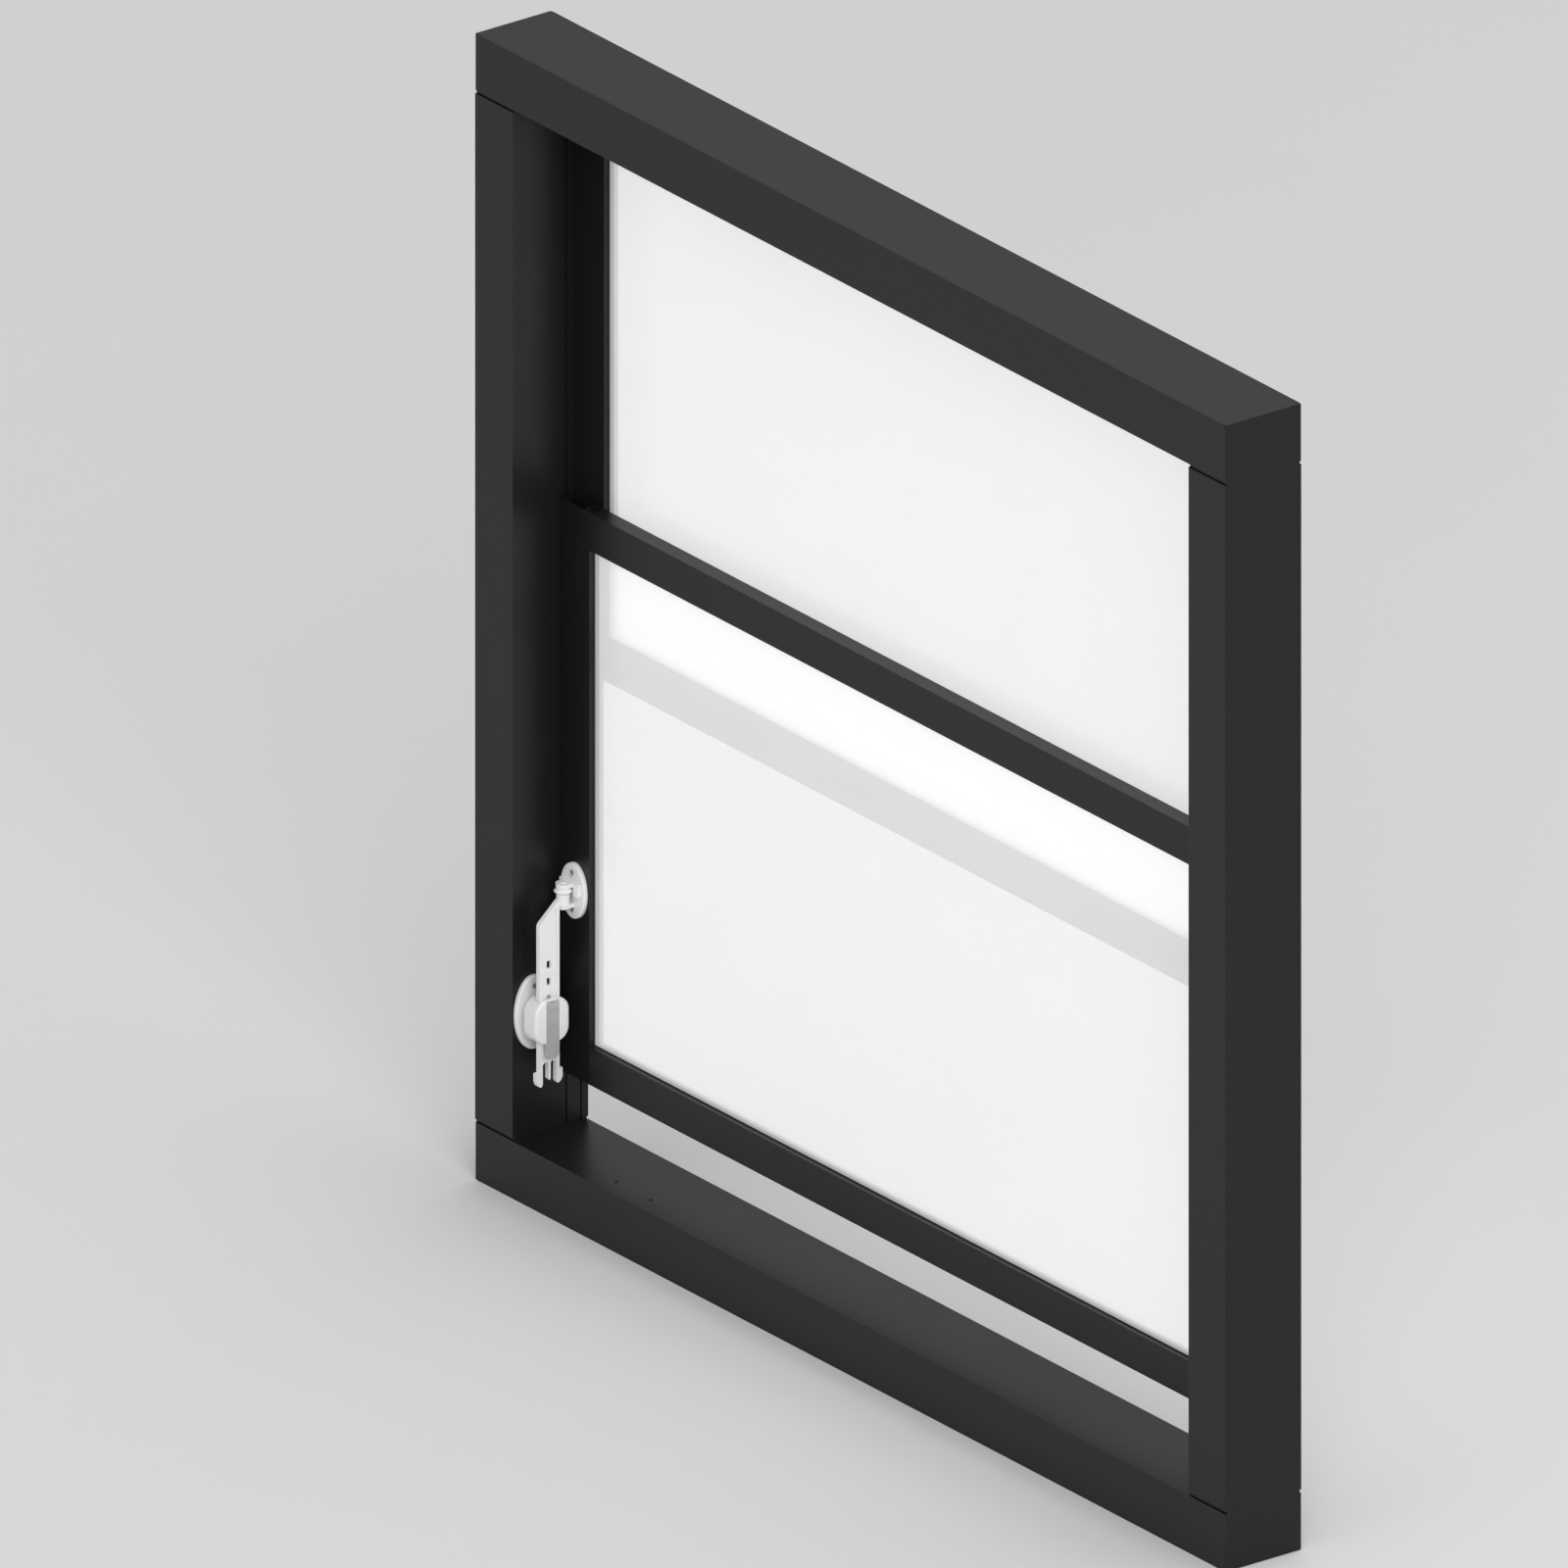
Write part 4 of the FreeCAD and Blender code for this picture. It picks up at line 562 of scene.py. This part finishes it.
rubber, paint, place = new_finish("black_rubber")
bloom = paint.noise(place, 160.0, 3.0)
coat_with(
    paint,
    {
        "Base Color": paint.between(bloom, grey(0.014), grey(0.024)),
        "Roughness": 0.55 + 0.2 * bloom,
        "Normal": paint.bump(paint.noise(place, 2500.0, 1.0), 0.00002),
    },
)
for prefix in ("lower", "upper"):
    for part in ("room_gasket", "weather_gasket"):
        eased(f"{prefix}_{part}", rubber, 0.35 * MM)
    eased(prefix + "_setting_blocks", rubber, 0.4 * MM)
eased("lower_bottom_seal", rubber, 0.3 * MM)
eased("upper_top_seal", rubber, 0.3 * MM)


# ---- Meeting rail pile ----
# A woven backing tape set in the lower sash's top rail, with rows of short black fibres that brush the upper
# sash and keep the draught out.

pile_fibre, paint, place = new_finish("black_pile")
strands = paint.noise(place, 1800.0, 1.0)
coat_with(
    paint, {"Base Color": paint.between(strands, grey(0.012), grey(0.04)), "Roughness": 0.8 + 0.1 * strands}
)
pile_recipe, wires = new_recipe("pile", ["Length", "Height", "Tape", "Reach", "Pitch", "Fibre", "Lean"])
start = wires["Geometry"]
measures = start.node("ShaderNodeCombineXYZ", {}, {0: wires["Length"], 1: wires["Height"], 2: wires["Tape"]})
tape = raised(start.node("GeometryNodeMeshCube", {}, {"Size": measures}), 0.5 * wires["Tape"])
field = start.node(
    "GeometryNodeMeshGrid",
    {},
    {
        "Size X": wires["Length"] - wires["Pitch"],
        "Size Y": wires["Height"] - wires["Pitch"],
        "Vertices X": wires["Length"] / wires["Pitch"],
        "Vertices Y": wires["Height"] / wires["Pitch"],
    },
)
roots = start.node("GeometryNodeMeshToPoints", {}, {"Mesh": field})
fibre_length = wires["Reach"] - wires["Tape"]
fibre = start.node(
    "GeometryNodeMeshCone",
    {"fill_type": "NONE"},
    {
        "Vertices": 4,
        "Radius Top": 0.3 * wires["Fibre"],
        "Radius Bottom": wires["Fibre"],
        "Depth": fibre_length,
    },
)
spread = start.node("ShaderNodeCombineXYZ", {}, {0: wires["Lean"], 1: wires["Lean"], 2: 3.1})
other_way = start.node("ShaderNodeVectorMath", {"operation": "SCALE"}, {0: spread, "Scale": -1.0})
lean = start.node(
    "FunctionNodeRandomValue", {"data_type": "FLOAT_VECTOR"}, {0: other_way, 1: spread, "Seed": 7}
)
tuft = start.node("GeometryNodeInstanceOnPoints", {}, {"Points": roots, "Instance": fibre, "Rotation": lean})
brush = joined(tape, raised(tuft, wires["Tape"]))
end_recipe(pile_recipe, facing_aim(wires, brush), pile_fibre)
low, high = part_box("meeting_rail_pile")
pile = make_by_recipe(
    "meeting_rail_brush",
    pile_recipe,
    {
        "Length": high.x - low.x,
        "Height": high.z - low.z,
        "Tape": 0.5 * MM,
        "Reach": high.y - low.y,
        "Pitch": 0.75 * MM,
        "Fibre": 0.18 * MM,
        "Lean": 0.25,
    },
    [(0, low.y, (low.z + high.z) / 2)],
    [(0, 1, 0)],
)
show_as(pile, "meeting_rail_pile")


# ---- Balances, shoes and carriers ----
# Behind each stile a nylon shoe steadies the sash, and a nylon carrier holds a coiled steel ribbon whose end is
# fixed to the jamb: the ribbon pays out as the sash goes down.

nylon, paint, place = new_finish("black_nylon")
flow = paint.noise(place, 120.0, 2.0)
coat_with(
    paint,
    {
        "Base Color": paint.between(flow, grey(0.02), grey(0.032)),
        "Roughness": 0.45 + 0.15 * flow,
        "Normal": paint.bump(paint.noise(place, 1600.0, 2.0), 0.00003),
    },
)
steel, paint, place = new_finish("spring_steel")
stretched = paint.node("ShaderNodeMapping", {}, {"Vector": place, "Scale": (900, 900, 40)})
rolled = paint.noise(stretched, 1.0, 3.0)
coat_with(
    paint,
    {
        "Base Color": paint.between(rolled, (0.3, 0.31, 0.33, 1), (0.42, 0.43, 0.45, 1)),
        "Metallic": 1.0,
        "Roughness": 0.25 + 0.15 * rolled,
    },
)
coil_recipe, wires = new_recipe(
    "ribbon_coil", ["Inner Radius", "Outer Radius", "Width", "Thickness", "Turns"]
)
start = wires["Geometry"]
spiral = start.node(
    "GeometryNodeCurveSpiral",
    {},
    {
        "Resolution": 26,
        "Rotations": wires["Turns"],
        "Start Radius": wires["Inner Radius"],
        "End Radius": wires["Outer Radius"],
        "Height": 0.0,
    },
)
section = start.node(
    "GeometryNodeCurvePrimitiveQuadrilateral", {}, {0: wires["Thickness"], 1: wires["Width"]}
)
wound = start.node("GeometryNodeCurveToMesh", {}, {0: spiral, "Profile Curve": section, "Fill Caps": True})
end_recipe(coil_recipe, facing_aim(wires, flat_shaded_edges(wound, 0.6)), steel)
for prefix in ("lower", "upper"):
    for part in ("guide_shoes", "balance_carriers"):
        eased(f"{prefix}_{part}", nylon, 0.4 * MM)
    eased(prefix + "_balance_ribbons", steel, 0)
    low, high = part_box(prefix + "_balance_coils")
    radius = (high.z - low.z) / 2
    coils = make_by_recipe(
        prefix + "_wound_coils",
        coil_recipe,
        {
            "Inner Radius": 9.2 * MM,
            "Outer Radius": radius - 0.2 * MM,
            "Width": high.y - low.y,
            "Thickness": 0.28 * MM,
            "Turns": 14,
        },
        [(x, (low.y + high.y) / 2, low.z + radius) for x in (low.x + radius, high.x - radius)],
        [(0, 1, 0), (0, 1, 0)],
    )
    show_as(coils, prefix + "_balance_coils")


# ---- Restrictor plates ----
# Two oval mouldings in white nylon, screwed on over thin foam pads. The sash plate has two ears for the hinge
# pin, and the jamb plate has a boss that the slider swivels on.


def moulding(name, dark, light, sheen):
    material, paint, place = new_finish(name)
    flow = paint.noise(place, 90.0, 2.0)
    spark = paint.noise(place, 3000.0, 1.0)
    coat_with(
        paint,
        {
            "Base Color": paint.between(flow, grey(dark), grey(light)),
            "Roughness": sheen + 0.1 * flow,
            "Normal": paint.bump(spark, 0.00001),
        },
    )
    return material


white_nylon = moulding("white_nylon", 0.82, 0.87, 0.28)
foam = moulding("white_foam", 0.7, 0.8, 0.8)
for node, slot in (
    ("sash_plate", "white_plastic"),
    ("jamb_plate", "white_plastic"),
    ("hinge_pin", "pin_plastic"),
    ("swivel_pin", "pin_plastic"),
):
    eased(node, white_nylon, 0.25 * MM)
for node in ("sash_plate_pad", "jamb_plate_pad"):
    eased(node, foam, 0.2 * MM)


# ---- Strap ----
# A flat white nylon strap with a sunk channel and a row of locking slots. It bends to a knuckle at its top. It
# ends in a fork whose outer legs are barbed, so that it can't be pulled out of the slider.

eased("restrictor_arm", white_nylon, 0.4 * MM)


# ---- Slider ----
# A rounded two-part white housing that the strap runs through. Two screws from behind hold its halves.

eased("slider_base", white_nylon, 0.4 * MM)
eased("slider_cover", white_nylon, 0.4 * MM)
eased("lever_pin", white_nylon, 0.15 * MM)


# ---- Release lever and its spring ----
# A grey lever on a pin across the housing's top, pushed home by a fine coil spring round the pin.

grey_nylon = moulding("grey_nylon", 0.4, 0.44, 0.3)
eased("release_lever", grey_nylon, 0.35 * MM)
helix_recipe, wires = new_recipe("wire_spring", ["Radius", "Wire", "Length", "Turns"])
start = wires["Geometry"]
helix = start.node(
    "GeometryNodeCurveSpiral",
    {},
    {
        "Resolution": 20,
        "Rotations": wires["Turns"],
        "Start Radius": wires["Radius"],
        "End Radius": wires["Radius"],
        "Height": wires["Length"],
    },
)
ring = start.node("GeometryNodeCurvePrimitiveCircle", {}, {"Resolution": 8, "Radius": wires["Wire"]})
sprung = start.node("GeometryNodeCurveToMesh", {}, {0: helix, "Profile Curve": ring, "Fill Caps": True})
end_recipe(helix_recipe, facing_aim(wires, flat_shaded_edges(sprung, 0.9)), steel)
low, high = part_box("lever_spring")
wire = 0.07 * MM
spring = make_by_recipe(
    "lever_wire_spring",
    helix_recipe,
    {
        "Radius": (high.z - low.z) / 2 - wire,
        "Wire": wire,
        "Length": high.y - low.y - 2 * wire,
        "Turns": 14,
    },
    [((low.x + high.x) / 2, low.y + wire, (low.z + high.z) / 2)],
    [(0, 1, 0)],
)
show_as(spring, "lever_spring")
